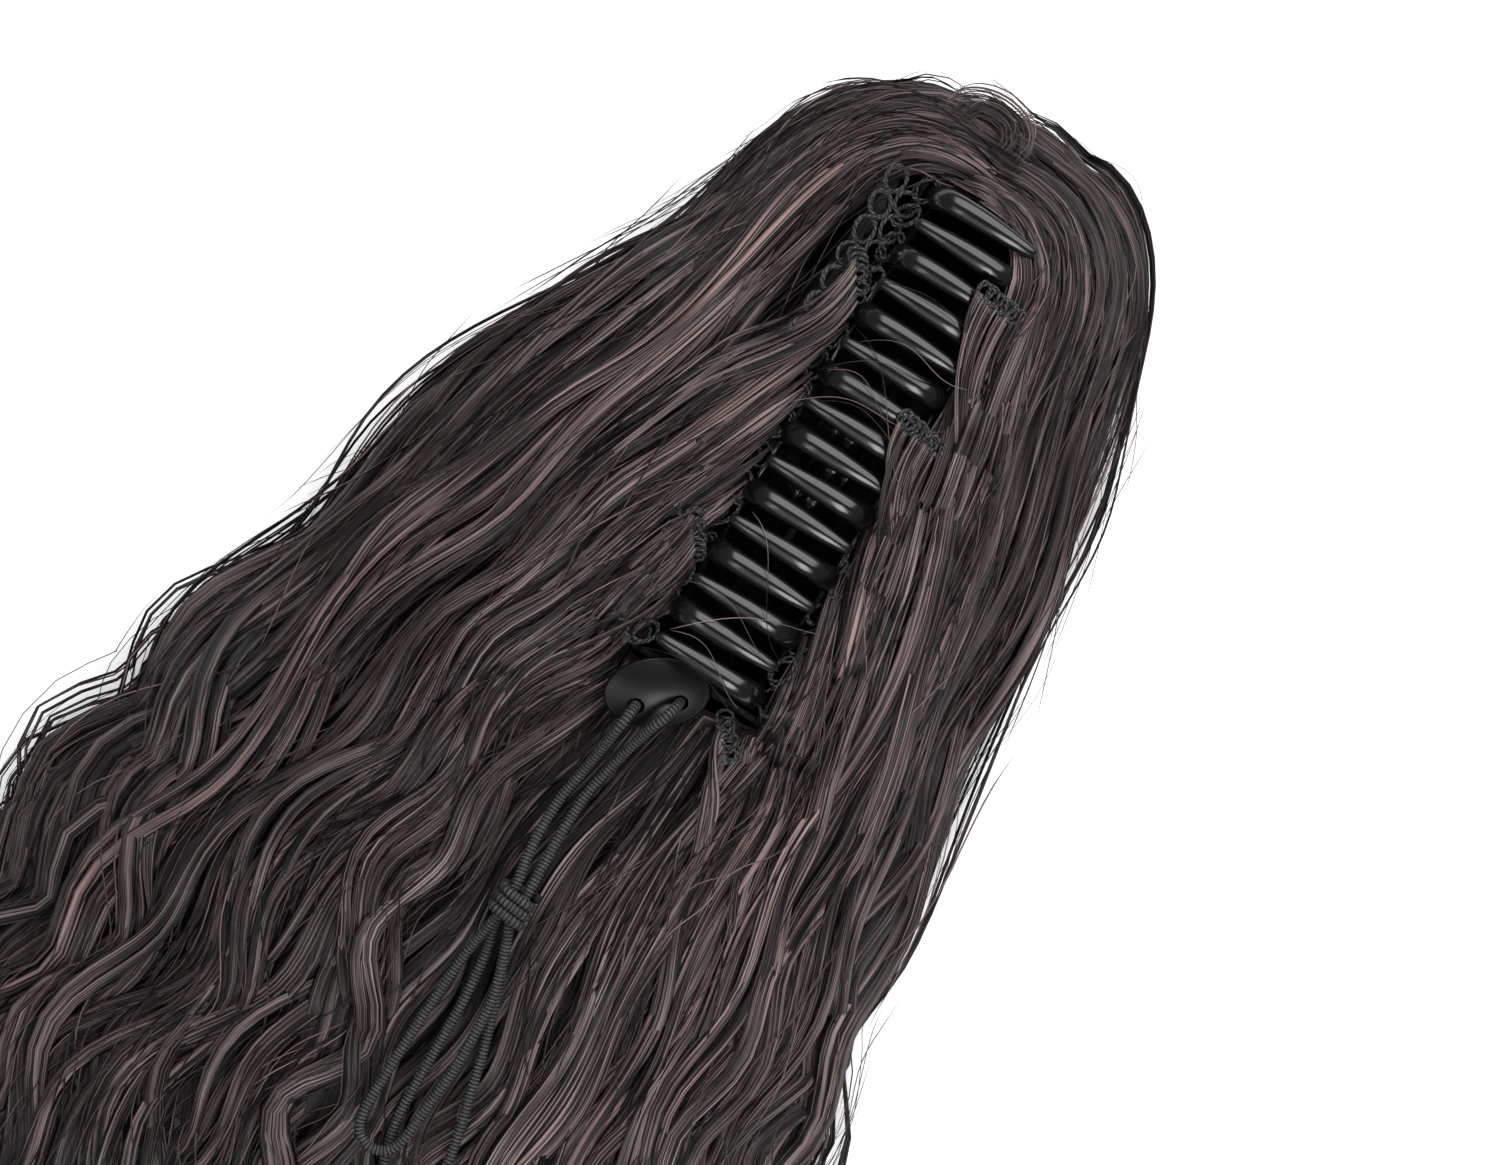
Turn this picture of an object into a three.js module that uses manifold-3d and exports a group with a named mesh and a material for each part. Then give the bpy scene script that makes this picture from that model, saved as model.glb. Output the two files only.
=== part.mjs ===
// A wavy clip-on ponytail, lying on its back with the claw's teeth facing up.
// Long hair is sewn in tresses round a crocheted net. The net holds a toothed claw that
// bites on the wearer's own ponytail, and an elastic cord comes out of a two-holed plate.
// Millimetres. +Z is up, the hair flows towards -Y and the crown is at +Y.
import * as THREE from "three";
import { mergeVertices } from "three/addons/utils/BufferGeometryUtils.js";
import Module from "manifold-3d";

const wasm = await Module();
wasm.setup();

// Clearances
const seat_gap = 0.4; // between pieces that rest on or against each other
const pin_clearance = 0.3; // round the hinge pin
const hole_clearance = 0.5; // round the cord in its holes

// Claw
const teeth_per_jaw = 8;
const tooth_pitch = 14; // between two teeth of one jaw
const tooth_base_width = 5.8;
const tooth_tip_width = 2.4;
const tooth_thickness = 2.2;
const tooth_ridge = 0.7; // how far the crease stands over the tooth's edges
const jaw_half_width = 12; // from the middle plane to the middle of a jaw's wall
const jaw_depth = 12; // from the teeth's top down to where the side wall begins
const tooth_reach = 16; // half width of the flat arc that a tip follows
const tooth_drop = 7; // depth of that arc
const tip_angle = 50; // degrees along that arc, at the tip
const jaw_wall = 2;
const claw_height = 43; // from the finger levers' ends to the teeth's top
const hinge_height = 15; // of the pin over the levers' ends
const pin_radius = 1.5;
const knuckle_wall = 1.5;
const knuckle_length = 7;
const knuckle_gap = 0.6;
const knuckle_count = 4;
const lever_length_along = 30; // the finger levers' width along the claw
const lever_spread = 8.5; // each lever's end from the middle plane
const lever_neck = 4; // how far a lever runs straight down before it spreads
const floor_height = 8; // of the side wall's foot over the pin
const shoulder_height = 4; // of the floor's bend over the pin
const shoulder_inset = 3; // of that bend from the side wall
const web_rise = 1.5; // of the web over the pin
const root_depth = 3; // how far a tooth's root runs down into its side wall

// Net
const net_wall = 1.2;
const net_side_gap = 1.1; // between a jaw's wall and the net
const net_cell = 6; // from hole to hole
const net_hole = 4.4; // across a hole
const net_overhang = 5; // past the claw's last teeth
const lip_width_left = 7.5;
const lip_width_right = 5.5;
const lip_slope_left = 38; // degrees from the horizontal
const lip_slope_right = 48;
const lip_start = 9; // how far below the teeth's arc a lip begins
const net_corner = 5; // bevel between the net's bottom and its sides
const lip_rows_left = 2; // rows of holes along a lip
const lip_rows_right = 1;

// Hair
const under_thickness = 6; // the tress that the ponytail lies on
const crown_overhang = 15; // hair past the claw's head end
const tail_length = 366; // hair past the claw's lower end
const head_width = 107; // across the hair beside the claw
const spread_width = 190; // across the hanging hair
const head_height = 48;
const tail_height = 42;
const lock_relief_head = 0.8; // crest over valley is twice this
const lock_relief_tail = 2.2;
const wave_length = 36;
const wave_side = 4.5; // sideways swing of a lock
const wave_lift = 1.6; // its rise and fall
const fringe = 46; // how far the valleys stop short of the tips
const rim_thickness = 3; // of the upper tresses at their outer edge
const tress_gap = 0.3; // between two tresses
const mouth_length = 24; // of the dark hollow at the claw's lower end
const tail_step = 6; // between two sections of the tail

// Sewn bands at the heads of the inner wefts
const band_length = 9;
const band_width = 5.6;
const band_thickness = 2.6;

// Cord and its plate
const cord_diameter = 2.3;
const cord_sides = 8;
const plate_length = 22;
const plate_width = 15;
const plate_thickness = 2.4;
const plate_dome = 1.2;
const plate_hole_spacing = 9;
const plate_hole_shift = 2; // of the holes towards the plate's lower edge
const plate_turn = 36; // degrees from across the claw
const plate_tilt = 14; // degrees, its lower edge down
const plate_end_gap = 6.8; // of the plate's middle past the claw's last tooth
const plate_offset = -6; // of the plate's middle from the middle plane
const knot_length = 7;

// Worked out from the sizes above
const net_bottom = under_thickness + seat_gap;
const claw_foot = net_bottom + net_wall + seat_gap;
const teeth_top = claw_foot + claw_height;
const arc_top = teeth_top - tooth_ridge - tooth_thickness / 2;
const hinge_z = claw_foot + hinge_height;
const bore_radius = pin_radius + pin_clearance;
const knuckle_radius = bore_radius + knuckle_wall;
const wall_foot_x = knuckle_radius + knuckle_gap + jaw_wall / 2;
const teeth_span = (teeth_per_jaw - 0.5) * tooth_pitch; // first to last tooth, both jaws
const claw_half = teeth_span / 2 + tooth_base_width / 2;
const net_half = claw_half + net_overhang - tooth_base_width / 2;
const net_inner = jaw_half_width + jaw_wall / 2 + net_side_gap;
const crown_y = net_half + crown_overhang;
const tail_y = -net_half;
const tip_y = tail_y - tail_length;
const head_length = crown_y - tail_y;
const tress_floor = under_thickness + tress_gap;
const radians = THREE.MathUtils.degToRad;

// Shares of head_length from the crown; left, right: of head_width; top: of head_height.
const head_sections = [
  { along: 0.0, left: -0.2, right: 0.1, top: 0.42 },
  { along: 0.02, left: -0.25, right: 0.17, top: 0.66 },
  { along: 0.05, left: -0.29, right: 0.22, top: 0.84 },
  { along: 0.1, left: -0.32, right: 0.28, top: 0.96 },
  { along: 0.16, left: -0.36, right: 0.32, top: 1.0 },
  { along: 0.23, left: -0.4, right: 0.355, top: 1.0 },
  { along: 0.31, left: -0.43, right: 0.38, top: 1.0 },
  { along: 0.39, left: -0.46, right: 0.41, top: 1.0 },
  { along: 0.47, left: -0.51, right: 0.43, top: 1.0 },
  { along: 0.55, left: -0.565, right: 0.445, top: 1.0 },
  { along: 0.63, left: -0.61, right: 0.46, top: 0.99 },
  { along: 0.71, left: -0.655, right: 0.48, top: 0.98 },
  { along: 0.78, left: -0.69, right: 0.49, top: 0.96 },
  { along: 0.84, left: -0.71, right: 0.495, top: 0.945 },
  { along: 0.9, left: -0.73, right: 0.505, top: 0.93 },
  { along: 0.95, left: -0.745, right: 0.515, top: 0.91 },
];
// Shares of tail_length from the claw's end; left, right: of spread_width; top: of
// tail_height; inner_left, inner_right: where the end tress meets its neighbours, in
// shares of the half width from the middle line.
const tail_sections = [
  { along: 0.0, left: -0.42, right: 0.29, top: 1.0, inner_left: -0.06, inner_right: 0.42 },
  { along: 0.1, left: -0.47, right: 0.32, top: 0.95, inner_left: -0.16, inner_right: 0.4 },
  { along: 0.2, left: -0.53, right: 0.36, top: 0.9, inner_left: -0.24, inner_right: 0.38 },
  { along: 0.4, left: -0.58, right: 0.41, top: 0.8, inner_left: -0.3, inner_right: 0.36 },
  { along: 0.6, left: -0.59, right: 0.42, top: 0.72, inner_left: -0.32, inner_right: 0.34 },
  { along: 0.8, left: -0.55, right: 0.4, top: 0.6, inner_left: -0.32, inner_right: 0.32 },
  { along: 0.92, left: -0.49, right: 0.35, top: 0.44, inner_left: -0.32, inner_right: 0.32 },
  { along: 1.0, left: -0.43, right: 0.29, top: 0.26, inner_left: -0.32, inner_right: 0.32 },
];
// The way out of the claw's end. past: of mouth_length from the net's end; left, right: of
// the net's inner half width; low: of lip_start, over the pin.
const mouth_sections = [
  { past: -0.04, left: -0.79, right: 0.79, low: 0.55 },
  { past: 0.4, left: -0.93, right: 0.44, low: 0.66 },
  { past: 1.0, left: -1.07, right: -0.21, low: 1.0 },
];
// Dents in the head: places in shares of head_width and of head_length from the crown,
// sizes in shares of head_width, depth in shares of head_height.
const dents = [
  { name: "parting", x: -0.04, along: 0.1, half_x: 0.05, half_y: 0.05, depth: 0.16 },
  { name: "side_hollow", x: -0.25, along: 0.35, half_x: 0.05, half_y: 0.13, depth: 0.34 },
];

// The cord's routes, chosen by hand. The outer loop goes from hole to hole, the inner
// loop starts and ends in the knot. The hair's top under them is the cord bed.
const bed = { left: -19, right: 15, from_y: -58, to_y: -196, top_from: 37.5, top_to: 33.5 };
const knot_at = [-7.8, -114, 41.3];
const outer_route = [
  [-8.5, -66.35, 39.9],
  [-8.25, -66.8, 42],
  [-8.2, -67.4, 44.3],
  [-8.3, -69.1, 46],
  [-8.5, -71.4, 46.6],
  [-8.8, -73.6, 46.1],
  [-9.5, -79, 43.1],
  [-10.3, -85, 40.5],
  [-11.2, -92, 39.4],
  [-10.9, -102, 40.6],
  [-9.5, -109.4, 42.2],
  [-9.15, -112.4, 42.65],
  [-9.15, -115.6, 42.65],
  [-9.5, -119.2, 41.9],
  [-10.6, -127, 38.9],
  [-11.2, -138, 37.3],
  [-11.4, -150, 37.1],
  [-11.4, -160, 37.6],
  [-11.1, -166.9, 38.3],
  [-9.6, -170.4, 38.6],
  [-6.2, -171.8, 38.9],
  [-2.8, -170.4, 38.9],
  [-1.3, -166.9, 38.9],
  [-0.9, -160, 38.9],
  [-0.3, -152, 39.6],
  [-0.4, -142, 40.1],
  [-1.4, -132, 40.3],
  [-4.6, -122, 41.6],
  [-6.3, -118, 42.4],
  [-6.45, -115.4, 42.65],
  [-6.45, -112.2, 42.65],
  [-6.6, -108, 42.2],
  [-7.2, -98, 40.2],
  [-7.1, -88, 39.7],
  [-5.8, -80, 40.9],
  [-4.4, -74, 43.3],
  [-2.9, -68.6, 46.1],
  [-2.1, -66.4, 46.6],
  [-1.45, -64.1, 46],
  [-1, -62.35, 44.3],
  [-0.95, -61.6, 42],
  [-1.22, -61.05, 39.9],
];
const inner_route = [
  [-9.15, -111, 39.95],
  [-9.15, -116.6, 39.95],
  [-8.6, -121, 38.4],
  [-7, -128, 37.2],
  [-5.9, -138, 36.9],
  [-5.5, -148, 36.4],
  [-5.1, -158, 36.1],
  [-4.5, -165, 35.9],
  [-2.7, -172, 35.7],
  [-0.4, -179.4, 35.6],
  [1.2, -183, 35.5],
  [4.7, -184.5, 35.5],
  [8.2, -183, 35.6],
  [9.7, -179.4, 35.7],
  [9.7, -172, 35.9],
  [8.2, -163, 36.1],
  [5.8, -154, 36.4],
  [3.6, -146, 36.6],
  [0.8, -137, 36.9],
  [-2.4, -128, 37.2],
  [-5.2, -121, 38.4],
  [-6.45, -116.6, 39.95],
  [-6.45, -111, 39.95],
];
const outer_steps = 44;
const inner_steps = 28;

// Value of one column of a table at a share of the length, on straight lines between rows.
function column(table, along, name) {
  const next = table.findIndex((row) => row.along >= along);
  if (next < 0) return table[table.length - 1][name];
  if (next === 0) return table[0][name];
  const [a, b] = [table[next - 1], table[next]];
  return THREE.MathUtils.mapLinear(along, a.along, b.along, a[name], b[name]);
}

// A closed mesh through rings of equally many points, each end closed round its middle.
function loft(rings) {
  const count = rings[0].length;
  const points = rings.flat();
  const triangles = [];
  for (let i = 0; i + 1 < rings.length; i++)
    for (let j = 0; j < count; j++) {
      const [a, b] = [i * count + j, i * count + ((j + 1) % count)];
      triangles.push(a, b, b + count, a, b + count, a + count);
    }
  for (const [first, turned] of [[0, true], [(rings.length - 1) * count, false]]) {
    const middle = new THREE.Vector3();
    for (let j = 0; j < count; j++) middle.add(points[first + j]);
    points.push(middle.divideScalar(count));
    const at = points.length - 1;
    for (let j = 0; j < count; j++) {
      const [a, b] = [first + j, first + ((j + 1) % count)];
      triangles.push(...(turned ? [b, a, at] : [a, b, at]));
    }
  }
  return new THREE.BufferGeometry().setFromPoints(points).setIndex(triangles);
}

// A geometry as a solid for joining and cutting, with its faces turned outwards.
function solid(geometry) {
  const bare = geometry.clone();
  bare.deleteAttribute("normal");
  bare.deleteAttribute("uv");
  const merged = mergeVertices(bare, 1e-4);
  const vertProperties = new Float32Array(merged.getAttribute("position").array);
  const triVerts = new Uint32Array(merged.index.array);
  const made = new wasm.Manifold(new wasm.Mesh({ numProp: 3, vertProperties, triVerts }));
  if (made.volume() > 0) return made;
  for (let i = 0; i < triVerts.length; i += 3)
    [triVerts[i + 1], triVerts[i + 2]] = [triVerts[i + 2], triVerts[i + 1]];
  return new wasm.Manifold(new wasm.Mesh({ numProp: 3, vertProperties, triVerts }));
}

const joined = (solids) => solids.reduce((all, next) => all.add(next));

function geometryOf(made) {
  const mesh = made.getMesh();
  const positions = new THREE.BufferAttribute(new Float32Array(mesh.vertProperties), 3);
  const geometry = new THREE.BufferGeometry().setAttribute("position", positions);
  return geometry.setIndex(new THREE.BufferAttribute(new Uint32Array(mesh.triVerts), 1));
}

// A flat outline in X and Z, made a bar along Y from one place to another.
function barAlongY(outline, from_y, to_y) {
  const shape = new THREE.Shape(outline.map(([x, z]) => new THREE.Vector2(x, z)));
  const bar = new THREE.ExtrudeGeometry(shape, { depth: to_y - from_y, bevelEnabled: false });
  bar.rotateX(Math.PI / 2);
  bar.translate(0, to_y, 0);
  return solid(bar);
}

// Points moved sideways off an open line in X and Z, by a wall's half thickness each way.
function walled(line, wall) {
  const side = (sign) =>
    line.map(([x, z], i) => {
      const [before, after] = [line[Math.max(i - 1, 0)], line[Math.min(i + 1, line.length - 1)]];
      const unit = (a, b) => new THREE.Vector2(b[0] - a[0], b[1] - a[1]).normalize();
      const into = i > 0 ? unit(before, line[i]) : unit(line[i], after);
      const out = i < line.length - 1 ? unit(line[i], after) : into;
      const along = into.clone().add(out).normalize();
      const reach = wall / 2 / Math.max(0.5, along.dot(into));
      return [x - along.y * reach * sign, z + along.x * reach * sign];
    });
  return [...side(1), ...side(-1).reverse()];
}

// A tooth's middle line from its root in the side wall to its tip, for a jaw whose wall
// is on the given side: up a quarter of an ellipse, then along a flatter arc.
function toothLine(side) {
  const root = [[side * jaw_half_width, arc_top - jaw_depth - root_depth]];
  const rise = [0, 30, 60, 90].map((angle) => [
    side * jaw_half_width * Math.cos(radians(angle)),
    arc_top - jaw_depth + jaw_depth * Math.sin(radians(angle)),
  ]);
  const fall = [0.35, 0.7, 0.96, 1].map((share) => [
    -side * tooth_reach * Math.sin(radians(tip_angle * share)),
    arc_top - tooth_drop * (1 - Math.cos(radians(tip_angle * share))),
  ]);
  return [...root, ...rise, ...fall];
}

// One tooth at a place along the claw: a creased strip that narrows to a round tip.
function tooth(side, y) {
  const line = toothLine(side);
  const last = line.length - 1;
  const rings = line.map(([x, z], i) => {
    const [a, b] = [line[Math.max(i - 1, 0)], line[Math.min(i + 1, last)]];
    const along = new THREE.Vector2(b[0] - a[0], b[1] - a[1]).normalize();
    const out = new THREE.Vector2(along.y, -along.x).multiplyScalar(side);
    const share = i / last;
    const rounded = i === last ? 0.5 : 1;
    const half = (THREE.MathUtils.lerp(tooth_base_width, tooth_tip_width, share) / 2) * rounded;
    const thick = tooth_thickness * (1 - 0.4 * share) * rounded;
    const ridge = tooth_ridge * rounded;
    const at = (across, up) => new THREE.Vector3(x + out.x * up, y + across, z + out.y * up);
    return [
      at(-half, -thick / 2),
      at(half, -thick / 2),
      at(half, thick / 5),
      at(0, thick / 2 + ridge),
      at(-half, thick / 5),
    ];
  });
  return solid(loft(rings));
}

// The jaw's wall seen along the claw: side wall, and floor towards the hinge.
function jawWallLine(side) {
  return [
    [side * jaw_half_width, arc_top - jaw_depth + jaw_wall / 2],
    [side * jaw_half_width, hinge_z + floor_height],
    [side * (jaw_half_width - shoulder_inset), hinge_z + shoulder_height],
    [side * wall_foot_x, hinge_z + web_rise],
  ];
}

function leverLine(side) {
  return [
    [side * wall_foot_x, hinge_z + web_rise],
    [side * wall_foot_x, hinge_z - lever_neck],
    [side * lever_spread, claw_foot + jaw_wall / 2],
  ];
}

function jaw(side, first_tooth_y, knuckles) {
  const last_tooth_y = first_tooth_y - (teeth_per_jaw - 1) * tooth_pitch;
  const from_y = last_tooth_y - tooth_base_width / 2;
  const to_y = first_tooth_y + tooth_base_width / 2;
  const pieces = [barAlongY(walled(jawWallLine(side), jaw_wall), from_y, to_y)];
  const half_lever = lever_length_along / 2;
  pieces.push(barAlongY(walled(leverLine(side), jaw_wall), -half_lever, half_lever));
  for (let i = 0; i < teeth_per_jaw; i++)
    pieces.push(tooth(side, first_tooth_y - i * tooth_pitch));
  for (const y of knuckles) {
    const [low, high] = [y - knuckle_length / 2, y + knuckle_length / 2];
    const barrel = new THREE.CylinderGeometry(knuckle_radius, knuckle_radius, knuckle_length, 12);
    barrel.translate(0, y, hinge_z);
    const web = [
      [side * bore_radius, hinge_z + web_rise - jaw_wall / 3],
      [side * wall_foot_x, hinge_z + web_rise - jaw_wall / 3],
      [side * wall_foot_x, hinge_z + web_rise + jaw_wall / 3],
      [side * bore_radius, hinge_z + web_rise + jaw_wall / 2],
    ];
    pieces.push(solid(barrel), barAlongY(web, low, high));
  }
  const bore = new THREE.CylinderGeometry(bore_radius, bore_radius, 2 * claw_half, 12);
  bore.translate(0, 0, hinge_z);
  return joined(pieces).subtract(solid(bore));
}

function hingePin() {
  const length = knuckle_count * (knuckle_length + knuckle_gap) + 2 * knuckle_length;
  const pin = new THREE.CylinderGeometry(pin_radius, pin_radius, length, 12);
  return solid(pin.translate(0, 0, hinge_z));
}

// The net's section, as its outer face, from the left lip round the bottom to the right.
function netLine() {
  const out = net_inner + net_wall;
  const lip_z = arc_top - lip_start;
  const [turn_left, turn_right] = [radians(lip_slope_left), radians(lip_slope_right)];
  return [
    [-out - lip_width_left * Math.cos(turn_left), lip_z + lip_width_left * Math.sin(turn_left)],
    [-out, lip_z],
    [-out, net_bottom + net_corner],
    [-out + net_corner, net_bottom],
    [out - net_corner, net_bottom],
    [out, net_bottom + net_corner],
    [out, lip_z],
    [out + lip_width_right * Math.cos(turn_right), lip_z + lip_width_right * Math.sin(turn_right)],
  ];
}

// One flat stretch of the net between two corners of its section. Where it shows, it has
// six-sided holes in staggered rows.
function netStretch([x0, z0], [x1, z1], rows) {
  const run = Math.hypot(x1 - x0, z1 - z0);
  const margin = net_wall * 0.45;
  const length = 2 * net_half;
  const strip = new THREE.Shape([
    new THREE.Vector2(-margin, -net_half),
    new THREE.Vector2(run + margin, -net_half),
    new THREE.Vector2(run + margin, net_half),
    new THREE.Vector2(-margin, net_half),
  ]);
  const columns = Math.floor((length - net_cell) / net_cell);
  for (let row = 0; row < rows; row++)
    for (let i = 0; i < columns; i++) {
      const across = (run * (row + 0.5)) / rows;
      const along = (i - (columns - 1) / 2) * net_cell + (row % 2 ? net_cell / 4 : -net_cell / 4);
      const radius = Math.min(net_hole, (run / rows) * 0.8) / 2;
      const corner = (k) => {
        const angle = (k * Math.PI) / 3;
        return new THREE.Vector2(
          across + radius * Math.cos(angle),
          along + (net_hole / 2) * Math.sin(angle),
        );
      };
      strip.holes.push(new THREE.Path([0, 1, 2, 3, 4, 5].map(corner)));
    }
  const sheet = new THREE.ExtrudeGeometry(strip, { depth: net_wall, bevelEnabled: false });
  const across = new THREE.Vector3(x1 - x0, 0, z1 - z0).normalize();
  const inward = new THREE.Vector3(-across.z, 0, across.x);
  const frame = new THREE.Matrix4().makeBasis(across, new THREE.Vector3(0, 1, 0), inward);
  sheet.applyMatrix4(frame.setPosition(x0, 0, z0));
  return solid(sheet);
}

function net() {
  const line = netLine();
  const last = line.length - 1;
  const rows = line.map((_, i) => (i === 0 ? lip_rows_left : i === last - 1 ? lip_rows_right : 0));
  const pieces = line.slice(1).map((corner, i) => netStretch(line[i], corner, rows[i]));
  const end_wall = line.slice(1, last).reverse();
  pieces.push(barAlongY(end_wall, net_half - net_wall, net_half));
  return joined(pieces);
}

// How far along the tail a place is, from 0 at the claw's end to 1 at the tips.
const tailShare = (y) => (tail_y - y) / tail_length;
const headShare = (y) => (crown_y - y) / head_length;
const inTail = (y) => y <= tail_y;

// The hair's left and right edges and its height at a place along it.
function edges(y) {
  if (inTail(y))
    return {
      left: column(tail_sections, tailShare(y), "left") * spread_width,
      right: column(tail_sections, tailShare(y), "right") * spread_width,
      top: column(tail_sections, tailShare(y), "top") * tail_height,
    };
  return {
    left: column(head_sections, headShare(y), "left") * head_width,
    right: column(head_sections, headShare(y), "right") * head_width,
    top: column(head_sections, headShare(y), "top") * head_height,
  };
}

// How strongly the hair waves: not at all at the crown, fully past the claw.
const waving = (y) => THREE.MathUtils.smoothstep(-y, -claw_half * 0.6, claw_half * 1.2);

// A point on the hair's top. across runs from -1 at the left edge to 1 at the right one,
// crest is 1 on a lock's ridge and -1 between two locks.
function topPoint(across, y, crest) {
  const { left, right, top } = edges(y);
  const [middle, half] = [(left + right) / 2, (right - left) / 2];
  const turn = (2 * Math.PI * (crown_y - y)) / wave_length + 1.3 * Math.PI * across;
  const bed_y = THREE.MathUtils.smoothstep(y, bed.to_y - 16, bed.to_y) *
    (1 - THREE.MathUtils.smoothstep(y, bed.from_y, bed.from_y + 24));
  const flat_x = middle + across * half;
  const in_bed = bed_y * THREE.MathUtils.smoothstep(flat_x, bed.left - 14, bed.left) *
    (1 - THREE.MathUtils.smoothstep(flat_x, bed.right, bed.right + 14));
  const swing = wave_side * waving(y) * Math.sin(turn) * (1 - 0.7 * in_bed);
  const thin = inTail(y) ? 1 - THREE.MathUtils.smoothstep(tailShare(y), 0.8, 1) * 0.75 : 1;
  const relief = THREE.MathUtils.lerp(lock_relief_head, lock_relief_tail, waving(y)) * thin;
  const fullness = THREE.MathUtils.lerp(0.5, 0.8, waving(y));
  const dome = Math.pow(Math.max(0, 1 - Math.pow(Math.abs(across), 2.6)), fullness);
  let z = tress_floor + rim_thickness + (top - tress_floor - rim_thickness) * dome;
  z += relief * crest + wave_lift * waving(y) * thin * Math.cos(turn) * dome;
  for (const dent of dents) {
    const dx = (flat_x - dent.x * head_width) / (dent.half_x * head_width);
    const dy = (y - (crown_y - dent.along * head_length)) / (dent.half_y * head_width);
    z -= dent.depth * head_height * Math.exp(-dx * dx - dy * dy);
  }
  const bed_share = (bed.from_y - y) / (bed.from_y - bed.to_y);
  const bed_z = THREE.MathUtils.lerp(bed.top_from, bed.top_to, bed_share);
  z = THREE.MathUtils.lerp(z, bed_z, in_bed);
  return new THREE.Vector3(flat_x + swing, y, Math.max(z, tress_floor + rim_thickness * 0.6));
}

// Each lock's ridge runs on past the valleys beside it, so that the tail ends in points.
function ragged(point, y, index, crest) {
  const share = THREE.MathUtils.smoothstep(tailShare(y), 0.84, 1);
  const uneven = 0.5 + 0.5 * Math.sin(index * 2.4 + 1);
  const short = crest > 0 ? 0.35 * uneven : 0.7 + 0.3 * uneven;
  point.y += fringe * share * short;
  return point;
}

function stations(from_y) {
  const places = head_sections.map((row) => crown_y - row.along * head_length);
  const steps = Math.round(tail_length / tail_step);
  for (let i = 0; i <= steps; i++) places.push(tail_y - (tail_length * i) / steps);
  return places.filter((y) => y <= from_y + 1e-6);
}

// A tress between two lines that run down the hair, given as shares of the half width.
// Its underside is flat and lies over the tress beneath it.
function tress(from_y, samples, left_line, right_line) {
  const rings = stations(from_y).map((y) => {
    const [from, to] = [left_line(y), right_line(y)];
    const ring = [];
    for (let i = 0; i <= samples; i++) {
      const across = THREE.MathUtils.lerp(from, to, i / samples);
      const crest = i % 2 ? 1 : -1;
      const point = ragged(topPoint(across, y, crest), y, i % samples, crest);
      if (i === 0 && from > -1) point.x += tress_gap / 2;
      if (i === samples && to < 1) point.x -= tress_gap / 2;
      ring.push(point);
    }
    const under = (point) => new THREE.Vector3(point.x, point.y, tress_floor);
    return [...ring, under(ring[samples]), under(ring[samples / 2]), under(ring[0])];
  });
  return solid(loft(rings));
}

// The line that parts two tresses in the crown, where both reach over the claw's end.
const parting = (y) => {
  const { left, right } = edges(y);
  return (dents[0].x * head_width - (left + right) / 2) / ((right - left) / 2);
};
const innerLine = (name) => (y) =>
  inTail(y) ? column(tail_sections, tailShare(y), name) : parting(y);

// The room that the net takes out of the hair, with a little air round it.
function trough() {
  const line = netLine();
  const last = line.length - 1;
  const grown = line.map(([x, z], i) => {
    const out = i === 0 || i === last ? 1.5 * net_wall : seat_gap;
    return [x + Math.sign(x) * out, z - seat_gap];
  });
  const top_z = 2 * teeth_top;
  const outline = [...grown, [grown[grown.length - 1][0], top_z], [grown[0][0], top_z]];
  return barAlongY(outline, -net_half - seat_gap, net_half + seat_gap);
}

// The way out of the claw's lower end: under the cord's plate, then up and out.
function wayOut() {
  const ring = (y, left, right, low) =>
    [[left, low], [right, low], [right, 2 * teeth_top], [left, 2 * teeth_top]].map(
      ([x, z]) => new THREE.Vector3(x, y, z),
    );
  const rings = mouth_sections.map(({ past, left, right, low }) =>
    ring(tail_y - past * mouth_length, left * net_inner, right * net_inner, hinge_z + low * lip_start),
  );
  return solid(loft(rings));
}

function underTress() {
  const rings = stations(crown_y - 2).map((y) => {
    const [left, right] = [topPoint(-0.97, y, 0), topPoint(0.97, y, 0)];
    const ends = [left, topPoint(0, y, 0), right];
    ends.forEach((point, i) => ragged(point, y, i * 2 + 1, 1));
    const at = (z, inset) => (point, i) =>
      new THREE.Vector3(point.x + inset * (1 - i), point.y, z);
    return [...ends.map(at(0, under_thickness / 2)), ...ends.map(at(under_thickness, 0)).reverse()];
  });
  return solid(loft(rings));
}

// A sewn band: a block with rounded long edges.
function band() {
  const [w, t] = [band_width / 2, band_thickness / 2];
  const outline = [
    [-w, -t * 0.5], [-w * 0.7, -t], [w * 0.7, -t], [w, -t * 0.5],
    [w, t * 0.5], [w * 0.7, t], [-w * 0.7, t], [-w, t * 0.5],
  ];
  return geometryOf(barAlongY(outline, -band_length / 2, band_length / 2));
}

// The plate: an oval with a domed face and two holes for the cord.
function plate() {
  const oval = (share, z) => {
    const ring = [];
    for (let i = 0; i < 24; i++) {
      const angle = (i * Math.PI) / 12;
      const x = (plate_length / 2) * share * Math.cos(angle);
      ring.push(new THREE.Vector3(x, (plate_width / 2) * share * Math.sin(angle), z));
    }
    return ring;
  };
  const rings = [oval(0.9, 0), oval(1, plate_thickness * 0.3), oval(0.94, plate_thickness * 0.8)];
  rings.push(oval(0.6, plate_thickness + plate_dome * 0.7));
  const blank = solid(loft([...rings, oval(0.25, plate_thickness + plate_dome)]));
  const radius = cord_diameter / 2 + hole_clearance;
  const holes = [-1, 1].map((side) => {
    const drill = new THREE.CylinderGeometry(radius, radius, 4 * plate_thickness, 12);
    drill.rotateX(Math.PI / 2);
    drill.translate((side * plate_hole_spacing) / 2, -plate_hole_shift, plate_thickness);
    return solid(drill);
  });
  return geometryOf(blank.subtract(joined(holes)));
}

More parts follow.
